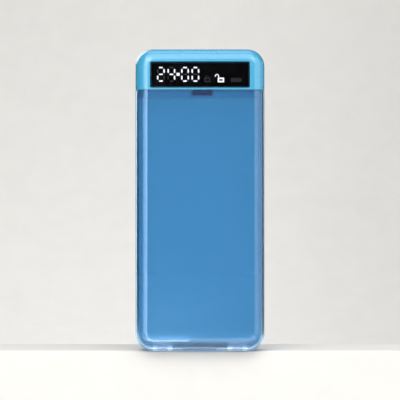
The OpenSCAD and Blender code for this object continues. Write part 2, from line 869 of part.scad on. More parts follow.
module lock_bolt() {
  slot_half = crank_r * (1 - cos(crank_half)) / 2 + 0.15;
  slot_in = crank_pin_r + 0.15;
  color("lightgray") difference() {
    union() {
      block([latch_x - bolt_w / 2, y_bolt - bolt_t / 2, z_bolt_foot], [latch_x + bolt_w / 2, y_bolt + bolt_t / 2, z_yoke]);
      block([x_yoke, y_bolt - yoke_d / 2, z_yoke], [x_yoke + yoke_w, y_bolt + yoke_d / 2, z_yoke + yoke_h]);
    }
    block([x_yoke - over, y_bolt - slot_half, z_cross - slot_in], [x_yoke + yoke_w + over, y_bolt + slot_half, z_cross + slot_in]);
    for (side = [-1, 1])
      bar_x(slot_in, x_yoke - over, x_yoke + yoke_w + over, y_bolt + side * slot_half, z_cross);
  }
}

// ---- Fasteners ----

module cover_screws() {
  color("silver")
    for (side = [-1, 1], z = cover_screw_z)
      screw_y(side * cover_screw_x, y_back - screw_seat + snug, z, y_back - screw_seat - y_cover + screw_bite);
}

module case_screws() {
  color("silver")
    for (side = [-1, 1])
      screw_y(side * case_screw_x, y_back - screw_seat + snug, case_screw_z, plug_inset - screw_seat + screw_bite);
}

module frame_screws() {
  color("silver")
    for (x = frame_screw_x) translate([x, frame_screw_y, z_plate + plate_t + snug]) screw(plate_t + frame_bite - 0.3);
}

module board_screws() {
  color("silver")
    for (side = [-1, 1]) {
      screw_y(side * main_screw_x, y_board_back, main_screw_z, 5);
      translate([side * button_pitch / 2, y_button, z_board_top - board_t]) rotate([180, 0, 0]) screw(5);
    }
}

rear_case();
lid();
lid_catch();
hinge_pins();
head_housing();
head_rear_cover();
display_window();
display_module();
display_lit();
display_unlit();
main_board();
board_chips();
button_board();
tact_switches();
charging_socket();
hour_button();
minute_button();
lock_button();
hour_plunger();
minute_plunger();
lock_plunger();
battery_cell();
battery_leads();
lock_frame();
lock_motor();
motor_gearbox();
motor_shaft();
crank_arm();
lock_bolt();
motor_leads();
cover_screws();
case_screws();
frame_screws();
board_screws();
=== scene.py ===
"""Timer lock box: the look of each part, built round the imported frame.

Places are in the frame's own axes: front to -Y, right to +X, up is +Z. The studio is measured in metres, and
the modelling helpers and the box's own parts in millimetres, which MM turns into metres.
"""

import logging
import math
from collections.abc import Callable, Iterator
from contextlib import contextmanager
from dataclasses import dataclass
from enum import Enum, IntEnum

import bpy
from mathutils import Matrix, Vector


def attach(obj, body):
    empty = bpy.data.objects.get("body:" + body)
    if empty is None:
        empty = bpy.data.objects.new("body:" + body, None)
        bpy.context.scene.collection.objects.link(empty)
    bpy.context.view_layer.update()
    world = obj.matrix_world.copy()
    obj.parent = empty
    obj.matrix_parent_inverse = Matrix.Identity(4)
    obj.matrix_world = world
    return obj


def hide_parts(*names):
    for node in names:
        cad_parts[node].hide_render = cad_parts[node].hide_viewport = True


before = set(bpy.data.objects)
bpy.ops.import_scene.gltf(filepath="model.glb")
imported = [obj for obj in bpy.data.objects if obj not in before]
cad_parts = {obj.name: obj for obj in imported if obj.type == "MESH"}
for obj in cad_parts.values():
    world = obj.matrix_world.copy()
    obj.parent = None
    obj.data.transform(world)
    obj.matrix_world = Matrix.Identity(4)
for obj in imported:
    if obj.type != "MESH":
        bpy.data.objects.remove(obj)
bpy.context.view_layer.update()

MM = 0.001
# Within this many millimetres a point counts as lying at a place, and this far under the skin as lying on it
TOUCH, SKIN = 0.01, 0.02
# How far a cutter reaches past what it cuts, in millimetres
OVER = 1.0
# Flats in a rounding: one for a chamfer, then thin rims, plain edges, domed tops and the corners of a plate
CHAMFER, RIM_STEPS, EDGE_STEPS, DOME_STEPS, CORNER_STEPS = 1, 2, 3, 4, 8
# Least bend of an edge that is rounded, in degrees: as a rule, and on a rim beside a finely curved skin
EDGE_BEND, RIM_BEND = 40.0, 60.0
# Points closer than this, in millimetres, are merged: after a plate's corners, after cutting, before shading
PLATE_MERGE, CUT_MERGE, LAST_MERGE = 0.03, 0.002, 0.001
# Faces that bend less than this, in degrees, count as one
FLAT_BEND = 0.2
LEFT_RIGHT = (-1, 1)

Piece, Material = bpy.types.Object, bpy.types.Material
Tree, Node, Socket = bpy.types.NodeTree, bpy.types.Node, bpy.types.NodeSocket
Point = tuple[float, float, float]
Span = tuple[float, float]
EdgeTest = Callable[[Vector, Vector], bool]

log = logging.getLogger("lock_box")


# ---------------------------------------------------------------- node and colour helpers

def linear(code: str) -> tuple[float, float, float, float]:
    """Turns an sRGB hex colour into linear RGBA.

    Args:
        code: six hex digits.

    Returns:
        Linear red, green, blue and an alpha of 1.
    """
    # The numbers are the sRGB standard's own
    parts = [int(code[i:i + 2], 16) / 255 for i in (0, 2, 4)]
    red, green, blue = (c / 12.92 if c <= 0.04045 else ((c + 0.055) / 1.055) ** 2.4 for c in parts)
    return red, green, blue, 1.0


def fill(tree: Tree, node: Node, inputs: dict) -> None:
    """Fills or links a node's inputs.

    Args:
        tree: the node tree that the node is in.
        node: the node.
        inputs: input name or index to a value, or to a socket that is linked to it.
    """
    for key, value in inputs.items():
        if isinstance(value, Socket):
            tree.links.new(value, node.inputs[key])
        else:
            node.inputs[key].default_value = value


def add_node(tree: Tree, kind: str, inputs: dict, settings: dict | None = None) -> Node:
    """Adds a node, sets its properties and fills or links its inputs.

    Args:
        tree: the node tree that gets the node.
        kind: the node's type, such as ShaderNodeTexNoise.
        inputs: input name or index to a value, or to a socket that is linked to it.
        settings: properties of the node itself.

    Returns:
        The new node.
    """
    node = tree.nodes.new(kind)
    for key, value in (settings or {}).items():
        setattr(node, key, value)
    fill(tree, node, inputs)
    return node


class Lay(Enum):
    """Direction in which a surface was worked, as the stretch of its pattern along X, Y and Z."""

    EVEN = (1.0, 1.0, 1.0)
    ALONG_X = (0.04, 1.0, 1.0)
    ALONG_Y = (1.0, 0.04, 1.0)
    ALONG_Z = (1.0, 1.0, 0.04)


@dataclass(frozen=True)
class Bench:
    """A material in the making: its node tree, its shader and its output."""

    tree: Tree
    shader: Node
    output: Node

    def feed(self, **inputs: object) -> None:
        """Fills or links inputs of the shader, whose names are given with _ in place of spaces."""
        fill(self.tree, self.shader, {name.replace("_", " "): value for name, value in inputs.items()})

    def place(self) -> Socket:
        """Adds the place on the piece, in metres."""
        return add_node(self.tree, "ShaderNodeTexCoord", {}).outputs["Object"]

    def spread(self, value: Socket, taken: Span, low: float, high: float) -> Socket:
        """Stretches part of a value's range over another range.

        Args:
            value: the value.
            taken: the part of its range that is stretched.
            low: what the part's lower end becomes.
            high: what its upper end becomes.

        Returns:
            A socket that runs from low to high.
        """
        node = add_node(self.tree, "ShaderNodeMapRange", {
            "Value": value, "From Min": taken[0], "From Max": taken[1], "To Min": low, "To Max": high})
        return node.outputs["Result"]

    def pattern(self, size_mm: float, lay: Lay = Lay.EVEN, low: float = 0.0,
                high: float = 1.0) -> Socket:
        """Adds a random pattern whose features have a real size.

        Args:
            size_mm: size of one feature, in millimetres.
            lay: direction in which the features are drawn out.
            low: value at the pattern's darkest places.
            high: value at its lightest places.

        Returns:
            A socket that runs from low to high over the surface.
        """
        turned = add_node(self.tree, "ShaderNodeMapping", {"Vector": self.place(), "Scale": lay.value})
        noise = add_node(self.tree, "ShaderNodeTexNoise", {
            "Vector": turned.outputs["Vector"], "Scale": 1 / (size_mm * MM), "Detail": 3.0})
        # The noise seldom leaves the middle of its range
        return self.spread(noise.outputs["Fac"], (0.3, 0.7), low, high)

    def relief(self, height: Socket, depth_mm: float) -> None:
        """Lets a height pattern tilt the surface.

        Args:
            height: pattern from 0 to 1.
            depth_mm: real height of the pattern, in millimetres.
        """
        bump = add_node(self.tree, "ShaderNodeBump", {
            "Height": height, "Distance": depth_mm * MM, "Strength": 1.0})
        self.feed(Normal=bump.outputs["Normal"])

    def vary(self, tint: str, other: str, share: Socket) -> None:
        """Lets the colour drift towards another one.

        Args:
            tint: hex of the colour at share 0.
            other: hex of the colour at share 1.
            share: pattern from 0 to 1.
        """
        # Inputs 6 and 7 and output 2 are the node's colours
        mix = add_node(self.tree, "ShaderNodeMix", {0: share, 6: linear(tint), 7: linear(other)},
                       {"data_type": "RGBA"})
        self.feed(Base_Color=mix.outputs[2])


# ---------------------------------------------------------------- finishes

@dataclass(frozen=True)
class Finish:
    """A surface: its colour, its gloss, and the marks that its making left on it."""

    name: str
    tint: str
    roughness: float
    ior: float = 1.5
    # Least and greatest roughness over the surface, as shares of roughness
    gloss_spread: Span = (0.8, 1.25)

    def make(self) -> Material:
        """Builds the material around one Principled shader.

        Returns:
            The material.
        """
        material = bpy.data.materials.new(self.name)
        material.use_nodes = True
        material.diffuse_color = linear(self.tint)
        tree = material.node_tree
        tree.nodes.clear()
        shader = add_node(tree, "ShaderNodeBsdfPrincipled", {
            "Base Color": linear(self.tint), "Roughness": self.roughness, "IOR": self.ior})
        output = add_node(tree, "ShaderNodeOutputMaterial", {"Surface": shader.outputs["BSDF"]})
        self.wire(Bench(tree, shader, output))
        return material

    def wire(self, bench: Bench) -> None:
        """Adds what sets this finish apart. A plain finish adds nothing."""

    def uneven(self, bench: Bench, size_mm: float, lay: Lay = Lay.EVEN) -> None:
        """Lets the gloss wander over the surface.

        Args:
            bench: the material in the making.
            size_mm: size of one duller or brighter place, in millimetres.
            lay: direction in which these places are drawn out.
        """
        low, high = self.gloss_spread
        bench.feed(Roughness=bench.pattern(size_mm, lay, self.roughness * low, self.roughness * high))


@dataclass(frozen=True)
class ClearPlastic(Finish):
    """Transparent ABS, injection-moulded in a polished tool.

    The eye sees through it, its thick edges look deeper in colour, and faint flow marks run up its walls.
    """

    gloss_spread: Span = (0.5, 1.8)
    depth_tint: str = "3ac2e7"
    density: float = 20.0
    clearness: float = 1.0
    flow_mm: float = 14.0
    flow_depth_mm: float = 0.01

    def wire(self, bench: Bench) -> None:
        """Makes the body see-through, tints its thickness and adds flow marks.

        Args:
            bench: the material in the making.
        """
        bench.feed(Transmission_Weight=self.clearness)
        body = add_node(bench.tree, "ShaderNodeVolumeAbsorption", {
            "Color": linear(self.depth_tint), "Density": self.density})
        fill(bench.tree, bench.output, {"Volume": body.outputs["Volume"]})
        self.uneven(bench, self.flow_mm, Lay.ALONG_Z)
        bench.relief(bench.pattern(self.flow_mm, Lay.ALONG_Z), self.flow_depth_mm)


@dataclass(frozen=True)
class MouldedPlastic(Finish):
    """ABS or a like plastic, injection-moulded; a polished tool leaves gloss, an eroded one a fine grain."""

    other: str = ""
    grain_mm: float = 1.2
    grain_depth_mm: float = 0.003
    drift_mm: float = 22.0
    haze_mm: float = 9.0
    coat: float = 0.0
    coat_roughness: float = 0.04

    def wire(self, bench: Bench) -> None:
        """Adds the tool's grain, a slow drift of colour and a polished skin.

        Args:
            bench: the material in the making.
        """
        bench.relief(bench.pattern(self.grain_mm), self.grain_depth_mm)
        bench.vary(self.tint, self.other or self.tint, bench.pattern(self.drift_mm))
        self.uneven(bench, self.haze_mm)
        bench.feed(Coat_Weight=self.coat, Coat_Roughness=self.coat_roughness)


@dataclass(frozen=True)
class SmokedAcrylic(Finish):
    """Smoked cast acrylic, polished: black where nothing shines behind it, and it mirrors like glass."""

    gloss_spread: Span = (1.0, 2.0)
    haze_mm: float = 6.0

    def wire(self, bench: Bench) -> None:
        """Makes it see-through, with the faintest unevenness in its gloss."""
        bench.feed(Transmission_Weight=1.0)
        self.uneven(bench, self.haze_mm)


@dataclass(frozen=True)
class Glow(Finish):
    """Lit symbol of a segment display: a diffuser film over a light, its colour uneven at random."""

    strength: float = 4.0
    film_mm: float = 0.8

    def wire(self, bench: Bench) -> None:
        """Lets the symbol shine through its uneven film."""
        bench.vary(self.tint, "ffffff", bench.pattern(self.film_mm))
        bench.feed(Emission_Color=linear(self.tint), Emission_Strength=self.strength)


@dataclass(frozen=True)
class Metal(Finish):
    """Metal whose worked surface shows fine lines along one direction."""

    gloss_spread: Span = (0.7, 1.4)
    other: str = ""
    lay: Lay = Lay.ALONG_X
    line_mm: float = 0.25
    line_depth_mm: float = 0.002
    drift_mm: float = 5.0

    def wire(self, bench: Bench) -> None:
        """Adds working lines to the height and the gloss, and a slow drift of colour.

        Args:
            bench: the material in the making.
        """
        bench.feed(Metallic=1.0)
        self.uneven(bench, self.line_mm, self.lay)
        bench.relief(bench.pattern(self.line_mm, self.lay), self.line_depth_mm)
        bench.vary(self.tint, self.other or self.tint, bench.pattern(self.drift_mm))


@dataclass(frozen=True)
class SolderMask(Finish):
    """Glass-fibre circuit board under green solder mask, with copper tracks that show as paler lines."""

    track: str = "3f8f52"
    track_mm: float = 2.2
    # How far a cell's border reaches into the cell, as shares of its size
    border: Span = (0.05, 0.09)
    track_depth_mm: float = 0.03
    jitter: float = 0.7

    def wire(self, bench: Bench) -> None:
        """Draws the tracks as the borders of square cells, and lets them stand up a little.

        Args:
            bench: the material in the making.
        """
        cells = add_node(bench.tree, "ShaderNodeTexVoronoi", {
            "Vector": bench.place(), "Scale": 1 / (self.track_mm * MM), "Randomness": self.jitter},
            {"feature": "DISTANCE_TO_EDGE"})
        edge = bench.spread(cells.outputs["Distance"], self.border, 1.0, 0.0)
        bench.vary(self.tint, self.track, edge)
        bench.relief(edge, self.track_depth_mm)


@dataclass(frozen=True)
class Foil(Finish):
    """Aluminium laminate of a pouch cell: satin, with shallow dents from pressing."""

    gloss_spread: Span = (0.875, 1.3125)
    dent_mm: float = 7.0
    dent_depth_mm: float = 0.12
    haze_mm: float = 3.0

    def wire(self, bench: Bench) -> None:
        """Adds dents and uneven gloss.

        Args:
            bench: the material in the making.
        """
        bench.feed(Metallic=1.0)
        bench.relief(bench.pattern(self.dent_mm), self.dent_depth_mm)
        self.uneven(bench, self.haze_mm)


# ABS, sky blue, polished tool: bright and even, with a glassy skin
HEAD_ABS = MouldedPlastic("abs_gloss_sky_blue", "419cc3", 0.24, 1.53, other="449fc6", coat=1.0)
# ABS for the push buttons, from a slightly eroded tool: the same blue with a satin face
BUTTON_ABS = MouldedPlastic("abs_satin_sky_blue", "46a2c9", 0.35, 1.53, other="419cc3", grain_mm=0.5)
# Transparent ABS of the case: a deep blue tint
CASE_CLEAR = ClearPlastic("clear_abs_case_blue", "60c0f0", 0.03, 1.52, clearness=0.82, density=60)
# Transparent ABS of the lid: the same blue, paler, so that the catch and the plug show through it
LID_CLEAR = ClearPlastic("clear_abs_lid_blue", "cdecff", 0.025, 1.52, clearness=0.97, density=90)
# Catch: moulded plastic coloured dark navy all over, darker than the clear lid
CATCH_NAVY = MouldedPlastic("abs_navy_gloss", "1a2a78", 0.18, 1.53, other="2a2f80", coat=0.4)
# Cast acrylic, smoked and polished: the display shows through it only where it is lit
WINDOW_ACRYLIC = SmokedAcrylic("smoked_acrylic", "96969a", 0.02, 1.49)
# Segment display: matt black body, symbols under a white diffuser film, lit or pale grey
DISPLAY_BODY = MouldedPlastic("black_display_body", "020203", 0.8, other="030304")
SEGMENT_LIT = Glow("diffuser_lit_white", "f4f6ff", 0.5, strength=4.0)
SEGMENT_DARK = MouldedPlastic("diffuser_unlit_grey", "a0a0a6", 0.6, other="909096", grain_mm=0.6)
# Circuit board: dull green mask over copper; chips in moulded epoxy, black and faintly grained
BOARD_MASK = SolderMask("solder_mask_green", "0f4a26", 0.35)
CHIP_EPOXY = MouldedPlastic("moulded_epoxy_black", "141416", 0.55, other="1b1b1d", grain_mm=0.3)
# Steel pins, centreless ground: pale and softly bright. Its lines are drawn coarser than real ones, to show
GROUND_STEEL = Metal("ground_steel", "eeecef", 0.5, other="f4f2f4")
# Screws, zinc plated: greyer, with a faint blue
ZINC_STEEL = Metal("zinc_plated_steel", "a9abb0", 0.3, other="b9bbc4", lay=Lay.ALONG_Y)
# Motor can and socket shell, nickel plated: smooth, with a warm shine
NICKEL_STEEL = Metal("nickel_plated_steel", "bdbcb8", 0.18, other="c8c6c0")
# Gearbox plates, milled brass; bolt, machined steel: both with lines along their height
BRASS_PLATE = Metal("milled_brass", "c9a24e", 0.28, other="b98f3c", lay=Lay.ALONG_Z)
BOLT_STEEL = Metal("machined_steel", "aeb0b5", 0.25, other="bcbec4", lay=Lay.ALONG_Z)
# Crank and plungers, moulded acetal: waxy white
ACETAL = MouldedPlastic("white_acetal", "e4e4de", 0.35, other="dadad2", grain_mm=0.6)
# Frame of the lock, ABS from an eroded tool: black with a visible grain
FRAME_ABS = MouldedPlastic("moulded_black_abs", "1c1d20", 0.45, other="232428", grain_mm=0.6,
                           grain_depth_mm=0.008)
# Pouch of the cell, aluminium laminate: satin silver
CELL_FOIL = Foil("aluminium_laminate", "c4c5c8", 0.32)
# Leads, extruded silicone: soft red
LEAD_JACKET = MouldedPlastic("silicone_red", "a01414", 0.45, other="8c1010", grain_mm=0.8)
# Floor, backdrop and plinth: uncoated paper, pale and matt
PAPER = MouldedPlastic("matt_paper", "e9e7e3", 0.9, other="e6e4e0")

CAD_FINISHES: dict[str, Finish] = {
    "rear_case": CASE_CLEAR, "lid": LID_CLEAR, "lid_catch": CATCH_NAVY, "hinge_pins": GROUND_STEEL,
    "head_housing": HEAD_ABS, "head_rear_cover": HEAD_ABS, "display_window": WINDOW_ACRYLIC,
    "display_module": DISPLAY_BODY, "display_lit": SEGMENT_LIT, "display_unlit": SEGMENT_DARK,
    "main_board": BOARD_MASK, "button_board": BOARD_MASK, "board_chips": CHIP_EPOXY,
    "tact_switches": CHIP_EPOXY, "charging_socket": NICKEL_STEEL,
    "hour_button": BUTTON_ABS, "minute_button": BUTTON_ABS, "lock_button": BUTTON_ABS,
    "hour_plunger": ACETAL, "minute_plunger": ACETAL, "lock_plunger": ACETAL,
    "battery_cell": CELL_FOIL, "battery_leads": LEAD_JACKET, "motor_leads": LEAD_JACKET,
    "lock_frame": FRAME_ABS, "lock_motor": NICKEL_STEEL, "motor_gearbox": BRASS_PLATE,
    "motor_shaft": GROUND_STEEL, "crank_arm": ACETAL, "lock_bolt": BOLT_STEEL,
    "cover_screws": ZINC_STEEL, "case_screws": ZINC_STEEL, "frame_screws": ZINC_STEEL,
    "board_screws": ZINC_STEEL,
}


class Wardrobe:
    """Makes each finish once and puts it on pieces."""

    def __init__(self) -> None:
        """Starts with no material made."""
        self.made: dict[str, Material] = {}

    def dress(self, piece: Piece, finish: Finish) -> None:
        """Gives a piece one finish all over.

        Args:
            piece: the mesh object.
            finish: the finish that it gets.
        """
        if finish.name not in self.made:
            self.made[finish.name] = finish.make()
        piece.data.materials.clear()
        piece.data.materials.append(self.made[finish.name])


# ---------------------------------------------------------------- modelling helpers, in millimetres

class Join(Enum):
    """How one closed piece acts on another."""

    CUT = "DIFFERENCE"
    ADD = "UNION"
    KEEP = "INTERSECT"


class Sides(IntEnum):
    """How many flats a round bar has."""

    BORE = 24
    POST = 32
    PIN = 40
    BARREL = 48


class Axis(IntEnum):
    """Direction in the frame. Its value is the coordinate's place in a point."""

    X = 0
    Y = 1
    Z = 2

    @property
    def way(self) -> Vector:
        """One step along the axis."""
        return Vector(((1, 0, 0), (0, 1, 0), (0, 0, 1))[self])

    @property
    def turn(self) -> Point:
        """The turn that lays a standing cylinder along the axis."""
        return ((0.0, math.pi / 2, 0.0), (math.pi / 2, 0.0, 0.0), (0.0, 0.0, 0.0))[self]


def along(axis: Axis, least: float = TOUCH) -> EdgeTest:
    """Picks edges that reach further than least along an axis."""
    return lambda a, b: abs(a[axis] - b[axis]) > least


def level(axis: Axis) -> EdgeTest:
    """Picks edges whose ends lie at the same place along an axis."""
    return lambda a, b: abs(a[axis] - b[axis]) < TOUCH


def below(axis: Axis, limit: float) -> EdgeTest:
    """Picks edges that lie at a limit or before it along an axis."""
    return lambda a, b: max(a[axis], b[axis]) < limit + TOUCH


def above(axis: Axis, limit: float) -> EdgeTest:
    """Picks edges that lie at a limit or past it along an axis."""
    return lambda a, b: min(a[axis], b[axis]) > limit - TOUCH


def both(first: EdgeTest, second: EdgeTest) -> EdgeTest:
    """Picks edges that pass two tests."""
    return lambda a, b: first(a, b) and second(a, b)


def either(first: EdgeTest, second: EdgeTest) -> EdgeTest:
    """Picks edges that pass one of two tests."""
    return lambda a, b: first(a, b) or second(a, b)


def deselect() -> None:
    """Leaves edit mode and selects nothing."""
    if bpy.context.object and bpy.context.object.mode != "OBJECT":
        bpy.ops.object.mode_set(mode="OBJECT")
    bpy.ops.object.select_all(action="DESELECT")


def activate(piece: Piece) -> None:
    """Selects one piece alone and makes it the active one.

    Args:
        piece: the piece.
    """
    deselect()
    piece.select_set(True)
    bpy.context.view_layer.objects.active = piece


@contextmanager
def editing(piece: Piece) -> Iterator[None]:
    """Holds a piece in edit mode for a with block, at first with all of it selected.

    Args:
        piece: the piece.

    Returns:
        What the with statement takes; it gives the block nothing.
    """
    activate(piece)
    bpy.ops.object.mode_set(mode="EDIT")
    bpy.ops.mesh.select_all(action="SELECT")
    yield
    bpy.ops.object.mode_set(mode="OBJECT")


def select_edges(piece: Piece, wanted: EdgeTest, bend: float = 0.0) -> int:
    """In edit mode, selects the edges whose two ends pass a test.

    Args:
        piece: the object in edit mode.
        wanted: takes both end points in millimetres and says whether the edge is wanted.
        bend: least angle between the edge's two faces, in degrees.

    Returns:
        The number of edges selected.
    """
    bpy.ops.mesh.select_mode(type="EDGE")
    bpy.ops.mesh.select_all(action="DESELECT")
    bpy.ops.object.mode_set(mode="OBJECT")
    mesh = piece.data
    facing: dict[tuple[int, int], list[Vector]] = {}
    for face in mesh.polygons:
        for key in face.edge_keys:
            facing.setdefault(key, []).append(face.normal)
    picked = 0
    for edge in mesh.edges:
        a, b = (mesh.vertices[i].co / MM for i in edge.vertices)
        normals = facing.get(edge.key, [])
        sharp = bend == 0 or (len(normals) == 2 and normals[0].angle(normals[1], 0.0) > math.radians(bend))
        edge.select = bool(sharp and wanted(a, b))
        picked += edge.select
    bpy.ops.object.mode_set(mode="EDIT")
    return picked


def select_faces(piece: Piece, wanted: Callable[[Vector, Vector], bool]) -> None:
    """In edit mode, selects the faces that pass a test.

    Args:
        piece: the object in edit mode.
        wanted: takes a face's middle in millimetres and its normal.
    """
    bpy.ops.mesh.select_mode(type="FACE")
    bpy.ops.mesh.select_all(action="DESELECT")
    bpy.ops.object.mode_set(mode="OBJECT")
    for face in piece.data.polygons:
        face.select = bool(wanted(face.center / MM, face.normal))
    bpy.ops.object.mode_set(mode="EDIT")


def round_edges(piece: Piece, radius: float, steps: int, wanted: EdgeTest,
                bend: float = EDGE_BEND) -> None:
    """Rounds chosen edges of a piece.

    Args:
        piece: the piece, in object mode.
        radius: radius of the rounding.
        steps: flats that make up the rounding.
        wanted: takes both end points of an edge.
        bend: least angle between the edge's two faces, in degrees.
    """
    with editing(piece):
        if select_edges(piece, wanted, bend):
            bpy.ops.mesh.bevel(offset=radius * MM, segments=steps, affect="EDGES")
        else:
            log.warning("%s has no such edge to round", piece.name)


def block(name: str, low: Point, high: Point) -> Piece:
    """Adds a block.

    Args:
        name: the piece's name.
        low: its lowest corner.
        high: its highest corner.

    Returns:
        The block.
    """
    deselect()
    middle = [(a + b) / 2 * MM for a, b in zip(low, high)]
    bpy.ops.mesh.primitive_cube_add(size=1, location=middle)
    piece = bpy.context.object
    piece.name = name
    piece.scale = [(b - a) * MM for a, b in zip(low, high)]
    bpy.ops.object.transform_apply(location=True, rotation=True, scale=True)
    return piece


def bar(name: str, axis: Axis, radius: float, at: Span, ends: Span, sides: Sides) -> Piece:
    """Adds a round bar.

    Args:
        name: the piece's name.
        axis: the direction that it runs in.
        radius: its radius.
        at: where it lies along the two other axes, in their order.
        ends: where it starts and ends along its own axis.
        sides: flats round it.

    Returns:
        The bar.
    """
    deselect()
    start, length = list(at), ends[1] - ends[0]
    start.insert(axis, ends[0])
    middle = (Vector(start) + axis.way * length / 2) * MM
    bpy.ops.mesh.primitive_cylinder_add(vertices=int(sides), radius=radius * MM, depth=length * MM,
                                        location=middle, rotation=axis.turn)
    piece = bpy.context.object
    piece.name = name
    bpy.ops.object.transform_apply(location=True, rotation=True, scale=True)
    return piece


def pad(name: str, axis: Axis, low: Point, high: Point, radius: float,
        steps: int = CORNER_STEPS) -> Piece:
    """Adds a plate whose four corners are round, seen along one axis.

    Args:
        name: the piece's name.
        axis: the direction that the plate is looked at from.
        low: its lowest corner.
        high: its highest corner.
        radius: radius of the round corners.
        steps: flats in each corner.

    Returns:
        The plate.
    """
    piece = block(name, low, high)
    round_edges(piece, radius, steps, along(axis))
    with editing(piece):
        bpy.ops.mesh.remove_doubles(threshold=PLATE_MERGE * MM)
    return piece


def discard(piece: Piece) -> None:
    """Removes a piece and its mesh.

    Args:
        piece: the piece, which is used up.
    """
    mesh = piece.data
    bpy.data.objects.remove(piece, do_unlink=True)
    bpy.data.meshes.remove(mesh)


def combine(piece: Piece, how: Join, *tools: Piece) -> Piece:
    """Cuts, adds or trims with closed pieces, which are used up.

    Args:
        piece: the piece that stays.
        how: what the tools do to it.
        tools: the closed pieces that act on it, one after another.

    Returns:
        The piece that stays.
    """
    for tool in tools:
        modifier = piece.modifiers.new("shape", "BOOLEAN")
        modifier.operation = how.value
        modifier.solver = "EXACT"
        modifier.object = tool
        activate(piece)
        bpy.ops.object.modifier_apply(modifier=modifier.name)
        discard(tool)
    return piece


def tidy_mesh(piece: Piece) -> None:
    """Merges doubles and joins flat neighbours, so that later roundings run along clean edges.

    Args:
        piece: the piece.
    """
    with editing(piece):
        bpy.ops.mesh.remove_doubles(threshold=CUT_MERGE * MM)
        bpy.ops.mesh.dissolve_limited(angle_limit=math.radians(FLAT_BEND))


def shade(piece: Piece, sharp: float = 32.0) -> Piece:
    """Turns the faces outwards and shades curves smooth, with flat faces kept flat.

    Args:
        piece: the piece.
        sharp: least angle that still shows as an edge, in degrees.

    Returns:
        The same piece.
    """
    with editing(piece):
        bpy.ops.mesh.remove_doubles(threshold=LAST_MERGE * MM)
        bpy.ops.mesh.normals_make_consistent(inside=False)
    bpy.ops.object.shade_smooth_by_angle(angle=math.radians(sharp), keep_sharp_edges=False)
    normals = piece.modifiers.new("normals", "WEIGHTED_NORMAL")
    normals.keep_sharp = True
    bpy.ops.object.modifier_apply(modifier=normals.name)
    return piece


def copied(piece: Piece, name: str, by: Point) -> Piece:
    """Copies a piece with its own mesh.

    Args:
        piece: the piece.
        name: the copy's name.
        by: how far the copy is moved.

    Returns:
        The copy.
    """
    activate(piece)
    bpy.ops.object.duplicate(linked=False)
    twin = bpy.context.object
    twin.name = name
    twin.location = Vector(by) * MM
    bpy.ops.object.transform_apply(location=True, rotation=False, scale=False)
    return twin


def joined(pieces: list[Piece], name: str) -> Piece:
    """Makes several pieces one object.

    Args:
        pieces: the pieces.
        name: the object's name.

    Returns:
        The object.
    """
    activate(pieces[0])
    for piece in pieces:
        piece.select_set(True)
    bpy.ops.object.join()
    pieces[0].name = name
    return pieces[0]


# ---------------------------------------------------------------- studio, in metres

@dataclass(frozen=True)
class Softbox:
    """A soft light that the camera doesn't see."""

    name: str
    place: Point
    aim: Point
    size: Span
    watts: float

    def hang(self) -> None:
        """Adds the light at its place, facing its aim."""
        data = bpy.data.lights.new(self.name, "AREA")
        data.shape = "RECTANGLE"
        data.size, data.size_y = self.size
        data.energy = self.watts
        box = bpy.data.objects.new(self.name, data)
        box.location = self.place
        box.rotation_euler = (Vector(self.aim) - Vector(self.place)).to_track_quat("-Z", "Y").to_euler()
        box.visible_camera = False
        bpy.context.collection.objects.link(box)


SOFTBOXES = (
    # One above and three in front light head, lid and case
    Softbox("top_light", (0, -0.44, 0.66), (0, 0, 0.2), (0.9, 0.62), 3.6),
    Softbox("left_fill", (-0.37, -0.594, 0.34), (0, 0, 0.12), (0.28, 0.9), 1.6),
    Softbox("left_strip", (-0.153, -0.59, 0.24), (-0.02, 0, 0.11), (0.17, 0.62), 1.2),
    Softbox("right_fill", (0.55, -0.43, 0.34), (0, 0, 0.12), (0.8, 0.9), 3.2),
    # Small sheets that face up just before the foot, for the light that comes through the clear edge
    Softbox("low_card", (-0.0265, -0.045, 0.003), (-0.0265, -0.045, 1.0), (0.037, 0.042), 0.02),
    Softbox("foot_glow", (0, -0.0205, 0.0003), (0, -0.0205, 1.0), (0.084, 0.023), 0.0018),
    Softbox("pin_glow", (-0.0273, -0.0205, 0.0005), (-0.0273, -0.0205, 1.0), (0.015, 0.023), 0.0011),
    Softbox("pin_glow", (0.0273, -0.0205, 0.0005), (0.0273, -0.0205, 1.0), (0.015, 0.023), 0.0011),
    # The case's right side, and the floor's light on the lid's lower edge
    Softbox("right_wall", (0.45, 0.1, 0.15), (0.047, 0, 0.12), (0.35, 0.5), 0.2),
    Softbox("low_sheet", (0, -0.075, 0.002), (0, -0.075, 1.0), (0.12, 0.1), 0.05),
    # The backdrop from above and from behind the plinth, and one for the box's back
    Softbox("backdrop_light", (0, 0.1, 1.1), (0, 0.75, 0.2), (0.8, 0.5), 2.0),
    Softbox("rear_fill", (-0.5, 0.75, 0.75), (0, 0.016, 0.15), (0.8, 0.8), 5.0),
    Softbox("low_backdrop_light", (0, 0.22, -0.045), (0, 0.75, 0.25), (0.5, 0.08), 0.9),
)


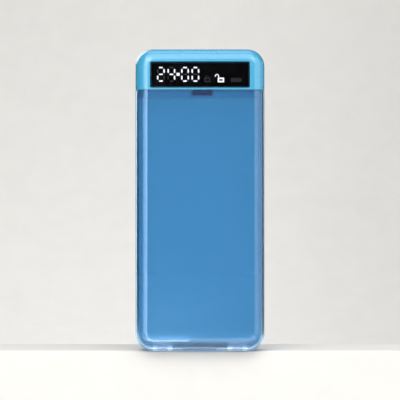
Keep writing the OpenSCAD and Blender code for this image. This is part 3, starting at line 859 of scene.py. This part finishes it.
@dataclass
class Studio:
    """Pale sweep, plinth, soft lights and the camera at the photograph's angle."""

    # The photograph: a square of 400 pixels, in which the 220 mm box is 301.8 pixels tall
    frame_px: float = 400.0
    box_px: float = 301.8
    box_mm: float = 220.0
    # From the camera to the plane of the widest outline, and where that plane lies
    distance_mm: float = 1400.0
    outline_y_mm: float = -7.0
    sensor_mm: float = 36.0
    # Plinth under the box: it ends behind the hinge, so that the lid can swing down in front of it
    plinth_mm: float = 60.0
    plinth_half_mm: float = 270.0
    plinth_depths_mm: Span = (-3.5, 60.0)
    plinth_edge_mm: float = 1.5
    # Sheet of paper that rises in a round bend behind the plinth, and the floor round it
    sheet_width: float = 0.54
    sheet_depths: Span = (-1.45, 0.75)
    sheet_rise: float = 1.8
    bend_r: float = 0.45
    bend_steps: int = 24
    floor_r: float = 3.0
    floor_sides: int = 64
    floor_drop: float = 0.001
    # The room's own faint light, and how often light may bounce: in all, through clear plastic, off gloss
    room_tint: str = "f2f5ff"
    room_strength: float = 0.04
    bounces: tuple[int, int, int] = (18, 16, 6)

    def camera(self) -> None:
        """Places the camera level with the middle of the box, straight in front of it."""
        data = bpy.data.cameras.new("camera")
        data.sensor_width = self.sensor_mm
        width_mm = self.box_mm * self.frame_px / self.box_px
        data.lens = self.sensor_mm * self.distance_mm / width_mm
        eye = bpy.data.objects.new("camera", data)
        eye.location = (0, (self.outline_y_mm - self.distance_mm) * MM, self.box_mm / 2 * MM)
        eye.rotation_euler = (math.radians(90), 0, 0)
        bpy.context.collection.objects.link(eye)
        bpy.context.scene.camera = eye

    def sheet(self) -> Piece:
        """Models floor and backdrop as one sheet of paper with a round bend.

        Returns:
            The sheet.
        """
        near, far = self.sheet_depths
        deselect()
        bpy.ops.mesh.primitive_plane_add(size=1, location=(0, 0, 0))
        sheet = bpy.context.object
        sheet.name = "sweep"
        sheet.scale = (self.sheet_width, far - near, 1)
        sheet.location = (0, (near + far) / 2, -self.plinth_mm * MM)
        bpy.ops.object.transform_apply(location=True, rotation=False, scale=True)
        rear = above(Axis.Y, far / 2 / MM)
        with editing(sheet):
            select_edges(sheet, rear)
            bpy.ops.mesh.extrude_region_move(TRANSFORM_OT_translate={"value": (0, 0, self.sheet_rise)})
            select_edges(sheet, both(rear, below(Axis.Z, 0)))
            bpy.ops.mesh.bevel(offset=self.bend_r, segments=self.bend_steps, affect="EDGES")
        bpy.ops.object.shade_smooth()
        return sheet

    def floor(self) -> Piece:
        """Adds the floor round the sheet, a little below it.

        Returns:
            The floor.
        """
        deselect()
        bpy.ops.mesh.primitive_circle_add(vertices=self.floor_sides, radius=self.floor_r, fill_type="NGON",
                                          location=(0, 0, -self.plinth_mm * MM - self.floor_drop))
        floor = bpy.context.object
        floor.name = "floor"
        bpy.ops.object.transform_apply(location=True, rotation=False, scale=False)
        return floor

    def plinth(self) -> Piece:
        """Models the plinth that the box stands on, with a soft upper edge.

        Returns:
            The plinth.
        """
        (front, back), half = self.plinth_depths_mm, self.plinth_half_mm
        plinth = block("plinth", (-half, front, -self.plinth_mm), (half, back, 0))
        round_edges(plinth, self.plinth_edge_mm, DOME_STEPS, above(Axis.Z, 0))
        return shade(plinth)

    def room(self) -> None:
        """Gives the room its faint even light."""
        world = bpy.data.worlds.new("room")
        world.use_nodes = True
        tree = world.node_tree
        tree.nodes.clear()
        sky = add_node(tree, "ShaderNodeBackground", {
            "Color": linear(self.room_tint), "Strength": self.room_strength})
        add_node(tree, "ShaderNodeOutputWorld", {"Surface": sky.outputs["Background"]})
        bpy.context.scene.world = world

    def build(self, wardrobe: Wardrobe) -> None:
        """Sets up camera, paper, lights and how light is turned into picture colours.

        Args:
            wardrobe: makes and applies the paper's finish.
        """
        self.camera()
        paper = (self.sheet(), self.floor(), self.plinth())
        for piece in paper:
            wardrobe.dress(piece, PAPER)
        for softbox in SOFTBOXES:
            softbox.hang()
        self.room()
        view, cycles = bpy.context.scene.view_settings, bpy.context.scene.cycles
        view.view_transform = "Standard"
        view.look = "None"
        cycles.use_denoising = True
        cycles.max_bounces, cycles.transmission_bounces, cycles.glossy_bounces = self.bounces


# ---------------------------------------------------------------- the box's form, in millimetres

@dataclass(frozen=True)
class BoxForm:
    """Outer form that case, lid and head share: a slab with round corners and edges."""

    width: float = 94.0
    depth: float = 32.0
    height: float = 220.0
    corner_r: float = 13.0
    corner_steps: int = 18
    front_r: float = 9.0
    front_steps: int = 12
    rear_r: float = 4.0
    rear_steps: int = 6
    least_r: float = 0.4
    wall: float = 2.2
    seam: float = 0.3
    head_z: float = 190.0
    hinge_z: float = 2.6

    @property
    def front(self) -> float:
        """Where the front face lies."""
        return -self.depth / 2

    @property
    def back(self) -> float:
        """Where the back face lies."""
        return self.depth / 2

    @property
    def split(self) -> float:
        """Where lid and case part, which is also where the hinge axis lies."""
        return self.front + self.front_r

    @property
    def case_top(self) -> float:
        """Top edge of case and lid."""
        return self.head_z - self.seam

    def solid(self, name: str, inset: float) -> Piece:
        """Models the form, drawn in on every side.

        Args:
            name: the piece's name.
            inset: how far it is drawn in.

        Returns:
            The closed piece.
        """
        half, front, back = self.width / 2 - inset, self.front + inset, self.back - inset
        piece = block(name, (-half, front, inset), (half, back, self.height - inset))
        round_edges(piece, self.corner_r - inset, self.corner_steps, along(Axis.Y))
        round_edges(piece, max(self.front_r - inset, self.least_r), self.front_steps, below(Axis.Y, front))
        round_edges(piece, max(self.rear_r - inset, self.least_r), self.rear_steps, above(Axis.Y, back))
        return piece

    def slice(self, depths: Span, heights: Span) -> Piece:
        """Adds a block across the full width, to trim a form with."""
        return block("slice", (-self.width, depths[0], heights[0]), (self.width, depths[1], heights[1]))

    def part(self, name: str, inset: float, depths: Span, heights: Span) -> Piece:
        """Models the part of a drawn-in form that lies between two depths and two heights."""
        return combine(self.solid(name, inset), Join.KEEP, self.slice(depths, heights))

    def shell(self, name: str, depths: Span, heights: Span) -> Piece:
        """Models one wall-thick part of the outer form."""
        return combine(self.part(name, 0.0, depths, heights), Join.CUT, self.solid("hollow", self.wall))

    def under_side(self, point: Vector) -> float:
        """Measures how deep a point lies in a level section through the front and the sides.

        Args:
            point: the point.

        Returns:
            Its depth under the surface.
        """
        past = abs(point.x) - (self.width / 2 - self.front_r)
        if point.y >= self.split:
            return self.width / 2 - abs(point.x)
        return self.front_r - math.hypot(max(past, 0.0), point.y - self.split)

    def under_rim(self, point: Vector) -> float:
        """Measures how deep a point lies in an upright section that faces the front.

        Args:
            point: the point.

        Returns:
            Its depth under the surface.
        """
        past_x = abs(point.x) - (self.width / 2 - self.corner_r)
        past_z = abs(point.z - self.height / 2) - (self.height / 2 - self.corner_r)
        if past_x > 0 and past_z > 0:
            return self.corner_r - math.hypot(past_x, past_z)
        return self.corner_r - max(past_x, past_z)


@dataclass(frozen=True)
class Hinge:
    """Two steel pins through the knuckles of the case and the barrels of the lid."""

    barrel_r: float = 2.5
    barrel_half: float = 41.5
    swing_gap: float = 0.5
    pin_r: float = 1.2
    pin_len: float = 13.6
    pin_x: float = 27.3
    pin_edge_r: float = 0.25
    knuckle_w: float = 7.2
    middle_w: float = 24.2
    knuckle_edge_r: float = 0.2
    # Web that ties a knuckle to the case: below and above the axis, and behind the barrel
    web_low: float = 1.2
    web_high: float = 0.6
    web_reach: float = 3.0
    slot_r: float = 3.41
    near: float = 0.1
    press: float = 0.02
    play: float = 0.05
    weld: float = 0.01

    def knuckles(self) -> list[Span]:
        """Lists the left and right end of each knuckle of the case.

        Returns:
            The middle knuckle first, then the two that hold the pins.
        """
        half = self.knuckle_w / 2
        return [(-self.middle_w / 2, self.middle_w / 2),
                (-self.pin_x - half, -self.pin_x + half), (self.pin_x - half, self.pin_x + half)]

    def bar(self, form: BoxForm, name: str, radius: float, ends: Span,
            sides: Sides = Sides.BARREL) -> Piece:
        """Adds a bar on the hinge axis between two places along X."""
        return bar(name, Axis.X, radius, (form.split, form.hinge_z), ends, sides)

    def pins(self, form: BoxForm) -> Piece:
        """Models one ground pin with broken edges and copies it to the other side.

        Args:
            form: the box's form.

        Returns:
            Both pins as one piece.
        """
        half = self.pin_len / 2
        pin = self.bar(form, "pin", self.pin_r, (self.pin_x - half, self.pin_x + half), Sides.PIN)
        round_edges(pin, self.pin_edge_r, RIM_STEPS, level(Axis.X))
        twin = copied(pin, "pin", (-2 * self.pin_x, 0, 0))
        return shade(joined([pin, twin], "hinge_pins_ground"))


@dataclass(frozen=True)
class Screw:
    """Pan-head screw with a cross recess, driven forward from behind, and its seat."""

    shank_r: float = 0.9
    head_r: float = 1.8
    head_h: float = 1.2
    dome_r: float = 0.55
    recess_w: float = 0.45
    recess_r: float = 1.1
    recess_depth: float = 0.7
    root: float = 0.2
    tip_r: float = 0.48
    sharp: float = 28.0
    hole_r: float = 1.0
    seat_r: float = 1.9
    seat_depth: float = 1.3
    seat_gap: float = 0.02

    def model(self, length: float) -> Piece:
        """Models one screw along Y, its head's underside at the origin.

        Args:
            length: length of the shank.

        Returns:
            The screw, which points to -Y.
        """
        screw = bar("screw", Axis.Y, self.head_r, (0, 0), (0, self.head_h), Sides.POST)
        round_edges(screw, self.dome_r, DOME_STEPS, above(Axis.Y, self.head_h))
        for across, up in ((self.recess_r, self.recess_w / 2), (self.recess_w / 2, self.recess_r)):
            combine(screw, Join.CUT, block("recess", (-across, self.head_h - self.recess_depth, -up),
                                           (across, self.head_h + OVER, up)))
        shank = bar("shank", Axis.Y, self.shank_r, (0, 0), (-length, self.root), Sides.BORE)
        round_edges(shank, self.tip_r, CHAMFER, below(Axis.Y, -length))
        return combine(screw, Join.ADD, shank)

    def row(self, form: BoxForm, name: str, length: float, places: list[Span]) -> Piece:
        """Models one screw and copies it to each seat in the back face.

        Args:
            form: the box's form.
            name: the piece's name.
            length: length of the shanks.
            places: X and Z of each screw.

        Returns:
            The screws as one piece.
        """
        first = self.model(length)
        under_head = form.back - self.seat_depth + self.seat_gap
        copies = [copied(first, name, (x, under_head, z)) for x, z in places]
        discard(first)
        return shade(joined(copies, name), self.sharp)

    def cutters(self, form: BoxForm, at: Span, start: float, sides: Sides) -> list[Piece]:
        """Adds the cutters for one screw's hole and for the seat of its head in the back face.

        Args:
            form: the box's form.
            at: X and Z of the screw.
            start: where the hole starts along Y.
            sides: flats round the hole.

        Returns:
            Both cutters.
        """
        outside = form.back + OVER
        return [bar("hole", Axis.Y, self.hole_r, at, (start, outside), sides),
                bar("seat", Axis.Y, self.seat_r, at, (form.back - self.seat_depth, outside), Sides.PIN)]


# ---------------------------------------------------------------- sub-assemblies, in millimetres

@dataclass
class Assembly:
    """What every sub-assembly has: the box's form, the wardrobe and the way its pieces are handed over."""

    form: BoxForm
    wardrobe: Wardrobe

    def build(self) -> None:
        """Models, dresses and hands over each piece."""
        raise NotImplementedError

    def hand_over(self, piece: Piece, finish: Finish, body: str, slot: str, node: str) -> None:
        """Dresses a finished piece, ties it to its body and hides the CAD node that it stands for.

        Args:
            piece: the finished piece.
            finish: its finish.
            body: the body that it moves with.
            slot: the record's material slot; not used.
            node: the CAD node that it replaces.
        """
        self.wardrobe.dress(piece, finish)
        deselect()
        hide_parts(node)
        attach(piece, body)
        log.info("%s: %d faces, rides on %s", piece.name, len(piece.data.polygons), body)


@dataclass
class ClearCase(Assembly):
    """Clear tub with the knuckles of its hinge, the steel pins and the two screws into the head."""

    hinge: Hinge
    screw: Screw
    screw_x: float = 30.0
    screw_z: float = 187.0
    screw_len: float = 6.3
    edge_r: float = 0.3

    def tub(self) -> Piece:
        """Models the tub: floor, back, sides, and the knuckles along its lower front edge.

        Returns:
            The tub.
        """
        form, hinge = self.form, self.hinge
        front, top = form.split + form.seam, form.case_top
        tub = form.shell("case_tub_clear", (front, form.back + OVER), (-OVER, top))
        tidy_mesh(tub)
        round_edges(tub, self.edge_r, RIM_STEPS, either(below(Axis.Y, front), above(Axis.Z, top)), RIM_BEND)
        half, room_r = hinge.barrel_half, hinge.barrel_r + hinge.swing_gap
        combine(tub, Join.CUT,
                block("room", (-half, form.split - OVER, -OVER), (half, form.split + room_r, form.hinge_z)),
                hinge.bar(form, "room", room_r, (-half, half)))
        for left, right in hinge.knuckles():
            knuckle = hinge.bar(form, "knuckle", hinge.barrel_r, (left, right))
            round_edges(knuckle, hinge.knuckle_edge_r, RIM_STEPS, level(Axis.X))
            web = block("web", (left, form.split, form.hinge_z - hinge.web_low),
                        (right, form.split + hinge.barrel_r + hinge.web_reach, form.hinge_z + hinge.web_high))
            combine(tub, Join.ADD, combine(knuckle, Join.ADD, web))
        for side in LEFT_RIGHT:
            middle, reach = side * hinge.pin_x, hinge.knuckle_w
            combine(tub, Join.CUT, hinge.bar(form, "bore", hinge.pin_r + hinge.press,
                                             (middle - reach, middle + reach), Sides.PIN))
            combine(tub, Join.CUT, *self.screw.cutters(form, (side * self.screw_x, self.screw_z),
                                                       form.back - form.wall - OVER, Sides.POST))
        return shade(tub)

    def build(self) -> None:
        """Models, dresses and hands over each piece."""
        self.hand_over(self.tub(), CASE_CLEAR, "case", "clear_case", "rear_case")
        self.hand_over(self.hinge.pins(self.form), GROUND_STEEL, "case", "steel", "hinge_pins")
        screws = self.screw.row(self.form, "case_screws_zinc", self.screw_len,
                                [(side * self.screw_x, self.screw_z) for side in LEFT_RIGHT])
        self.hand_over(screws, ZINC_STEEL, "case", "screw_steel", "case_screws")


@dataclass
class ClearLid(Assembly):
    """Clear front lid with its hinge barrels, and the navy catch that the bolt goes through."""

    hinge: Hinge
    edge_r: float = 0.3
    # The lid's side rims are rounded from the top of its lower corners upwards
    edge_low: float = 12.91
    catch_x: float = 1.7
    catch_w: float = 14.0
    catch_len: float = 14.0
    catch_z: float = 186.4
    catch_t: float = 2.9
    catch_edge_r: float = 0.35
    nose_r: float = 0.9
    bolt_y: float = -3.5
    bolt_w: float = 6.0
    bolt_d: float = 4.0
    bolt_corner_r: float = 0.4
    bolt_corner_steps: int = 4

    def lid(self) -> Piece:
        """Models the lid as a shallow dish, then its barrels with the gaps for the knuckles.

        Returns:
            The lid.
        """
        form, hinge = self.form, self.hinge
        rim, top = form.split, form.case_top
        ends = (-hinge.barrel_half, hinge.barrel_half)
        kept = combine(form.slice((form.front - OVER, rim), (-OVER, top)), Join.ADD,
                       hinge.bar(form, "barrel", hinge.barrel_r, ends))
        lid = combine(form.solid("lid_dish_clear", 0.0), Join.KEEP, kept)
        combine(lid, Join.CUT, combine(form.solid("hollow", form.wall), Join.CUT,
                                       hinge.bar(form, "barrel", hinge.barrel_r - hinge.weld, ends)))
        for left, right in hinge.knuckles():
            gap = (left - form.seam, right + form.seam)
            combine(lid, Join.CUT, hinge.bar(form, "gap", hinge.slot_r, gap))
        inner = hinge.pin_x - hinge.pin_len / 2 - hinge.near
        for bore in ((inner, form.width / 2), (-form.width / 2, -inner)):
            combine(lid, Join.CUT, hinge.bar(form, "bore", hinge.pin_r + hinge.play, bore, Sides.PIN))
        tidy_mesh(lid)
        side_rims = both(above(Axis.Y, rim), above(Axis.Z, self.edge_low))
        round_edges(lid, self.edge_r, RIM_STEPS, either(above(Axis.Z, top), side_rims), RIM_BEND)
        return shade(lid)

    def catch(self) -> Piece:
        """Models the catch: a tongue with a window for the bolt and a nose that finds the slot.

        Returns:
            The catch.
        """
        start, half, top = self.form.front + self.form.wall, self.catch_w / 2, self.catch_z + self.catch_t
        end = start + self.catch_len
        tongue = block("lid_catch_navy", (self.catch_x - half, start, self.catch_z),
                       (self.catch_x + half, end, top))
        round_edges(tongue, self.nose_r, EDGE_STEPS, both(above(Axis.Y, end), along(Axis.X)))
        # The nose's own short edges stay as they are
        round_edges(tongue, self.catch_edge_r, RIM_STEPS, both(along(Axis.Y, self.nose_r), level(Axis.X)))
        half_w, half_d = self.bolt_w / 2, self.bolt_d / 2
        window = pad("window", Axis.Z, (self.catch_x - half_w, self.bolt_y - half_d, self.catch_z - OVER),
                     (self.catch_x + half_w, self.bolt_y + half_d, top + OVER),
                     self.bolt_corner_r, self.bolt_corner_steps)
        return shade(combine(tongue, Join.CUT, window))

    def build(self) -> None:
        """Models, dresses and hands over both pieces."""
        self.hand_over(self.lid(), LID_CLEAR, "lid", "clear_lid", "lid")
        self.hand_over(self.catch(), CATCH_NAVY, "lid", "catch_plastic", "lid_catch")


@dataclass
class Head(Assembly):
    """Opaque head: front shell with the plug that closes the case, rear shell, pane and their screws."""

    screw: Screw
    edge_r: float = 0.3
    joint_y: float = 6.0
    joint_gap: float = 0.1
    # Window: the pane's seat, the ledge behind its rim, and how much tighter the opening's corners are
    window_w: float = 72.4
    window_h: float = 19.1
    window_z: float = 200.85
    window_r: float = 1.4
    window_sink: float = 0.2
    window_t: float = 1.4
    ledge: float = 1.2
    ledge_r: float = 0.4
    opening_steps: int = 6
    pane_gap: float = 0.1
    pane_edge_r: float = 0.25
    # Plug: a tray that closes the case's top end, with a slot for the catch
    plug_h: float = 6.0
    plug_inset: float = 2.6
    plug_wall: float = 2.0
    plug_floor: float = 1.8
    plug_rise: float = 2.0
    plug_r: float = 0.8
    slot_x: float = 1.7
    slot_w: float = 15.3
    # Openings for the charging socket in the right side and for the keys in the top
    socket_y: float = -4.8
    socket_z: float = 203.75
    socket_size: Span = (3.8, 9.54)
    socket_r: float = 1.8
    key_pitch: float = 18.0
    key_size: Span = (10.5, 5.5)
    key_zone: float = 3.0
    # Posts: how far each is sunk into what it stands on, how deep its screw is tapped, and its place
    boss_r: float = 2.6
    bore_r: float = 0.92
    root: float = 0.2
    tap: float = 4.0
    post_gap: float = 0.02
    bite: float = 5.0
    screw_x: float = 39.3
    screw_zs: Span = (196.4, 211.1)
    board_x: float = 28.0
    board_z: float = 214.3
    board_y: float = -8.0
    case_screw: Span = (30.0, 187.0)
    case_post: Span = (-7.0, -1.0)
    case_bore: Span = (-6.0, 2.0)
    frame_xs: Span = (-33.6, 12.0)
    frame_y: float = 0.33
    frame_z: float = 190.8
    frame_tap: float = 3.6
    key_board_z: float = 212.8
    # The rear shell's lower rim is rounded this far in from the back face
    foot_band: float = 0.9

    def window_cut(self) -> list[Piece]:
        """Adds the cutters for the window's seat and for the opening behind it.

        Returns:
            Both cutters.
        """
        front, half_w, half_h = self.form.front, self.window_w / 2, self.window_h / 2
        depth = front + self.window_sink + self.window_t
        inner_w, inner_h = half_w - self.ledge, half_h - self.ledge
        return [pad("seat", Axis.Y, (-half_w, front - OVER, self.window_z - half_h),
                    (half_w, depth, self.window_z + half_h), self.window_r),
                pad("opening", Axis.Y, (-inner_w, front, self.window_z - inner_h),
                    (inner_w, front + self.form.wall + OVER, self.window_z + inner_h),
                    self.window_r - self.ledge_r, self.opening_steps)]

    def plug(self) -> Piece:
        """Models the tray-shaped plug and the ring that ties it to the outer wall.

        Returns:
            The plug with its ring.
        """
        form, low, high = self.form, self.form.head_z - self.plug_h, self.form.head_z + self.plug_rise
        depths = (form.front, form.back)
        plug = form.part("plug", self.plug_inset, depths, (low, high))
        tidy_mesh(plug)
        round_edges(plug, self.plug_r, EDGE_STEPS, below(Axis.Z, low), RIM_BEND)
        combine(plug, Join.CUT, form.part("hollow", self.plug_inset + self.plug_wall, depths,
                                          (low + self.plug_floor, form.height)))
        ring = form.part("ring", form.wall / 2, (form.front, self.joint_y), (form.head_z, high))
        combine(ring, Join.CUT, form.solid("hollow", self.plug_inset + self.plug_wall / 2))
        return combine(plug, Join.ADD, ring)

    def front_posts(self) -> list[tuple[Axis, Span, Span, Span]]:
        """Lists the posts that take screws inside the front shell.

        Returns:
            For each post its axis, its place across it, the post's two ends and its bore's two ends.
        """
        form, rows = self.form, []
        inside = form.front + form.wall
        back, top = form.back - self.plug_inset, form.height - form.wall
        for side in LEFT_RIGHT:
            rows += [(Axis.Y, (side * self.screw_x, z), (inside - self.root, self.joint_y),
                      (0, self.joint_y + OVER)) for z in self.screw_zs]
            rows += [(Axis.Y, (side * self.board_x, self.board_z), (inside - self.root, self.board_y),
                      (self.board_y - self.tap, self.board_y + OVER)),
                     (Axis.Y, (side * self.case_screw[0], self.case_screw[1]),
                      (back + self.case_post[0], back + self.case_post[1]),
                      (back + self.case_bore[0], back + self.case_bore[1])),
                     (Axis.Z, (side * self.key_pitch / 2, 0), (self.key_board_z, top + OVER),
                      (self.key_board_z - OVER, self.key_board_z + self.tap))]
        floor = form.head_z - self.plug_h + self.plug_floor
        rows += [(Axis.Z, (x, self.frame_y), (floor - OVER, self.frame_z),
                  (self.frame_z - self.frame_tap, self.frame_z + OVER)) for x in self.frame_xs]
        return rows

    def on_front_rim(self, point: Vector) -> bool:
        """Tells whether the front shell is rounded at a point.

        Args:
            point: a corner of its mesh.

        Returns:
            Whether it lies on the lower rim, the joint's rim or the edge of an opening in the skin.
        """
        form = self.form
        if abs(point.z - form.head_z) < TOUCH:
            return form.under_side(point) < SKIN
        if abs(point.y - self.joint_y) < TOUCH:
            return form.under_rim(point) < SKIN
        at_window = (point.y < form.front + TOUCH and abs(point.x) < self.window_w / 2 + TOUCH
                     and abs(point.z - self.window_z) < self.window_h / 2 + TOUCH)
        return at_window or (point.z > form.height - TOUCH and abs(point.y) < self.key_zone)

    def on_rear_rim(self, point: Vector) -> bool:
        """Tells whether the rear shell is rounded at a point.

        Args:
            point: a corner of its mesh.

        Returns:
            Whether it lies on the rim that meets the front shell, or on the lower rim.
        """
        form = self.form
        at_joint = abs(point.y - self.joint_y - self.joint_gap) < TOUCH and form.under_rim(point) < SKIN
        outside = form.under_side(point) < SKIN or point.y > form.back - self.foot_band
        return at_joint or (abs(point.z - form.head_z) < TOUCH and outside)

    def front_shell(self) -> Piece:
        """Models the front shell with its window, keyholes, socket opening, plug and posts.

        Returns:
            The front shell.
        """
        form, low, top = self.form, self.form.head_z, self.form.height
        shell = form.shell("head_front_shell", (form.front - OVER, self.joint_y), (low, top + OVER))
        combine(shell, Join.CUT, *self.window_cut())
        key_w, key_d = (size / 2 for size in self.key_size)
        for x in (-self.key_pitch, 0, self.key_pitch):
            combine(shell, Join.CUT, pad("keyhole", Axis.Z, (x - key_w, -key_d, top - form.wall - OVER),
                                         (x + key_w, key_d, top + OVER), key_d - TOUCH))
        skin, (depth, height) = form.width / 2, (size / 2 for size in self.socket_size)
        combine(shell, Join.CUT, pad(
            "socket", Axis.X, (skin - form.wall - OVER, self.socket_y - depth, self.socket_z - height),
            (skin + OVER, self.socket_y + depth, self.socket_z + height), self.socket_r))
        tidy_mesh(shell)
        round_edges(shell, self.edge_r, RIM_STEPS,
                    lambda a, b: self.on_front_rim(a) and self.on_front_rim(b), RIM_BEND)
        combine(shell, Join.ADD, self.plug())
        near, half = form.front + self.plug_inset, self.slot_w / 2
        combine(shell, Join.CUT, block(
            "slot", (self.slot_x - half, near - OVER, low - self.plug_h + self.plug_floor),
            (self.slot_x + half, near + self.plug_wall + OVER, low)))
        posts = self.front_posts()
        for axis, at, post, _ in posts:
            combine(shell, Join.ADD, bar("post", axis, self.boss_r, at, post, Sides.POST))
        for axis, at, _, bore in posts:
            combine(shell, Join.CUT, bar("bore", axis, self.bore_r, at, bore, Sides.BORE))
        return shade(shell)

    def rear_shell(self) -> Piece:
        """Models the rear shell with its posts and the seats for four screw heads.

        Returns:
            The rear shell.
        """
        form = self.form
        shell = form.shell("head_rear_shell", (self.joint_y + self.joint_gap, form.back + OVER),
                           (form.head_z, form.height + OVER))
        tidy_mesh(shell)
        round_edges(shell, self.edge_r, RIM_STEPS,
                    lambda a, b: self.on_rear_rim(a) and self.on_rear_rim(b), RIM_BEND)
        post = (self.joint_y + self.post_gap, form.back - form.wall + self.root)
        for at in self.screw_places():
            combine(shell, Join.ADD, bar("post", Axis.Y, self.boss_r, at, post, Sides.POST))
            combine(shell, Join.CUT, *self.screw.cutters(form, at, self.joint_y - OVER, Sides.BORE))
        return shade(shell)

    def screw_places(self) -> list[Span]:
        """Lists X and Z of the four screws that hold the two shells together."""
        return [(side * self.screw_x, z) for side in LEFT_RIGHT for z in self.screw_zs]

    def pane(self) -> Piece:
        """Models the smoked pane with polished round edges.

        Returns:
            The pane.
        """
        front = self.form.front + self.window_sink
        half_w, half_h = self.window_w / 2 - self.pane_gap, self.window_h / 2 - self.pane_gap
        pane = pad("window_pane_smoked", Axis.Y, (-half_w, front, self.window_z - half_h),
                   (half_w, front + self.window_t, self.window_z + half_h), self.window_r - self.pane_gap)
        round_edges(pane, self.pane_edge_r, EDGE_STEPS, below(Axis.Y, front))
        return shade(pane)

    def build(self) -> None:
        """Models, dresses and hands over each piece."""
        self.hand_over(self.front_shell(), HEAD_ABS, "case", "head_shell", "head_housing")
        self.hand_over(self.rear_shell(), HEAD_ABS, "case", "head_shell", "head_rear_cover")
        self.hand_over(self.pane(), WINDOW_ACRYLIC, "case", "smoked_window", "display_window")
        length = self.form.back - self.screw.seat_depth - self.joint_y + self.bite
        screws = self.screw.row(self.form, "cover_screws_zinc", length, self.screw_places())
        self.hand_over(screws, ZINC_STEEL, "case", "screw_steel", "cover_screws")


@dataclass
class Keys(Assembly):
    """Three push buttons in the head's top face, each a flange with a dished cap."""

    pitch: float = 18.0
    width: float = 10.0
    depth: float = 5.0
    sink: float = 0.15
    flange_z: float = 216.7
    flange_t: float = 0.8
    flange_lip: float = 1.0
    cap_root: float = 0.1
    cap_steps: int = 10
    edge_r: float = 0.45
    # Depth of the hollow, and its rings from the rim inwards: each one's width and its share of the depth
    dish: float = 0.3
    dish_rings: tuple[Span, ...] = ((0.35, 0.35), (0.4, 0.4), (0.4, 0.25))
    # A face whose normal points up by more than this share is the cap's top
    level_top: float = 0.999

    def key(self) -> Piece:
        """Models the middle key: flange, cap with a round edge, and a hollow for the fingertip.

        Returns:
            The key.
        """
        half_w, half_d, lip = self.width / 2, self.depth / 2, self.flange_lip
        key = pad("key", Axis.Z, (-half_w - lip, -half_d - lip, self.flange_z),
                  (half_w + lip, half_d + lip, self.flange_z + self.flange_t), half_d)
        top = self.form.height - self.sink
        cap = pad("cap", Axis.Z, (-half_w, -half_d, self.flange_z + self.cap_root),
                  (half_w, half_d, top), half_d - TOUCH, self.cap_steps)
        round_edges(cap, self.edge_r, DOME_STEPS, above(Axis.Z, top))
        with editing(cap):
            select_faces(cap, lambda middle, normal: normal.z > self.level_top)
            for step, share in self.dish_rings:
                bpy.ops.mesh.inset(thickness=step * MM, depth=-share * self.dish * MM)
        return shade(combine(key, Join.ADD, cap))

    def build(self) -> None:
        """Models one key and places three of them."""
        first = self.key()
        for place, name in ((-1, "hour"), (0, "minute"), (1, "lock")):
            key = copied(first, f"{name}_key_cap", (place * self.pitch, 0, 0))
            self.hand_over(key, BUTTON_ABS, f"{name}_key", "button_plastic", f"{name}_button")
        discard(first)


def main() -> None:
    """Builds the studio, dresses the frame's own parts, models the rest and reports each piece."""
    logging.basicConfig(level=logging.INFO, format="%(message)s")
    wardrobe, form, hinge, screw = Wardrobe(), BoxForm(), Hinge(), Screw()
    Studio().build(wardrobe)
    for name, finish in CAD_FINISHES.items():
        wardrobe.dress(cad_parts[name], finish)
        log.info("dressed %s in %s", name, finish.name)
    ClearCase(form, wardrobe, hinge, screw).build()
    ClearLid(form, wardrobe, hinge).build()
    Head(form, wardrobe, screw).build()
    Keys(form, wardrobe).build()


if __name__ == "__main__":
    main()
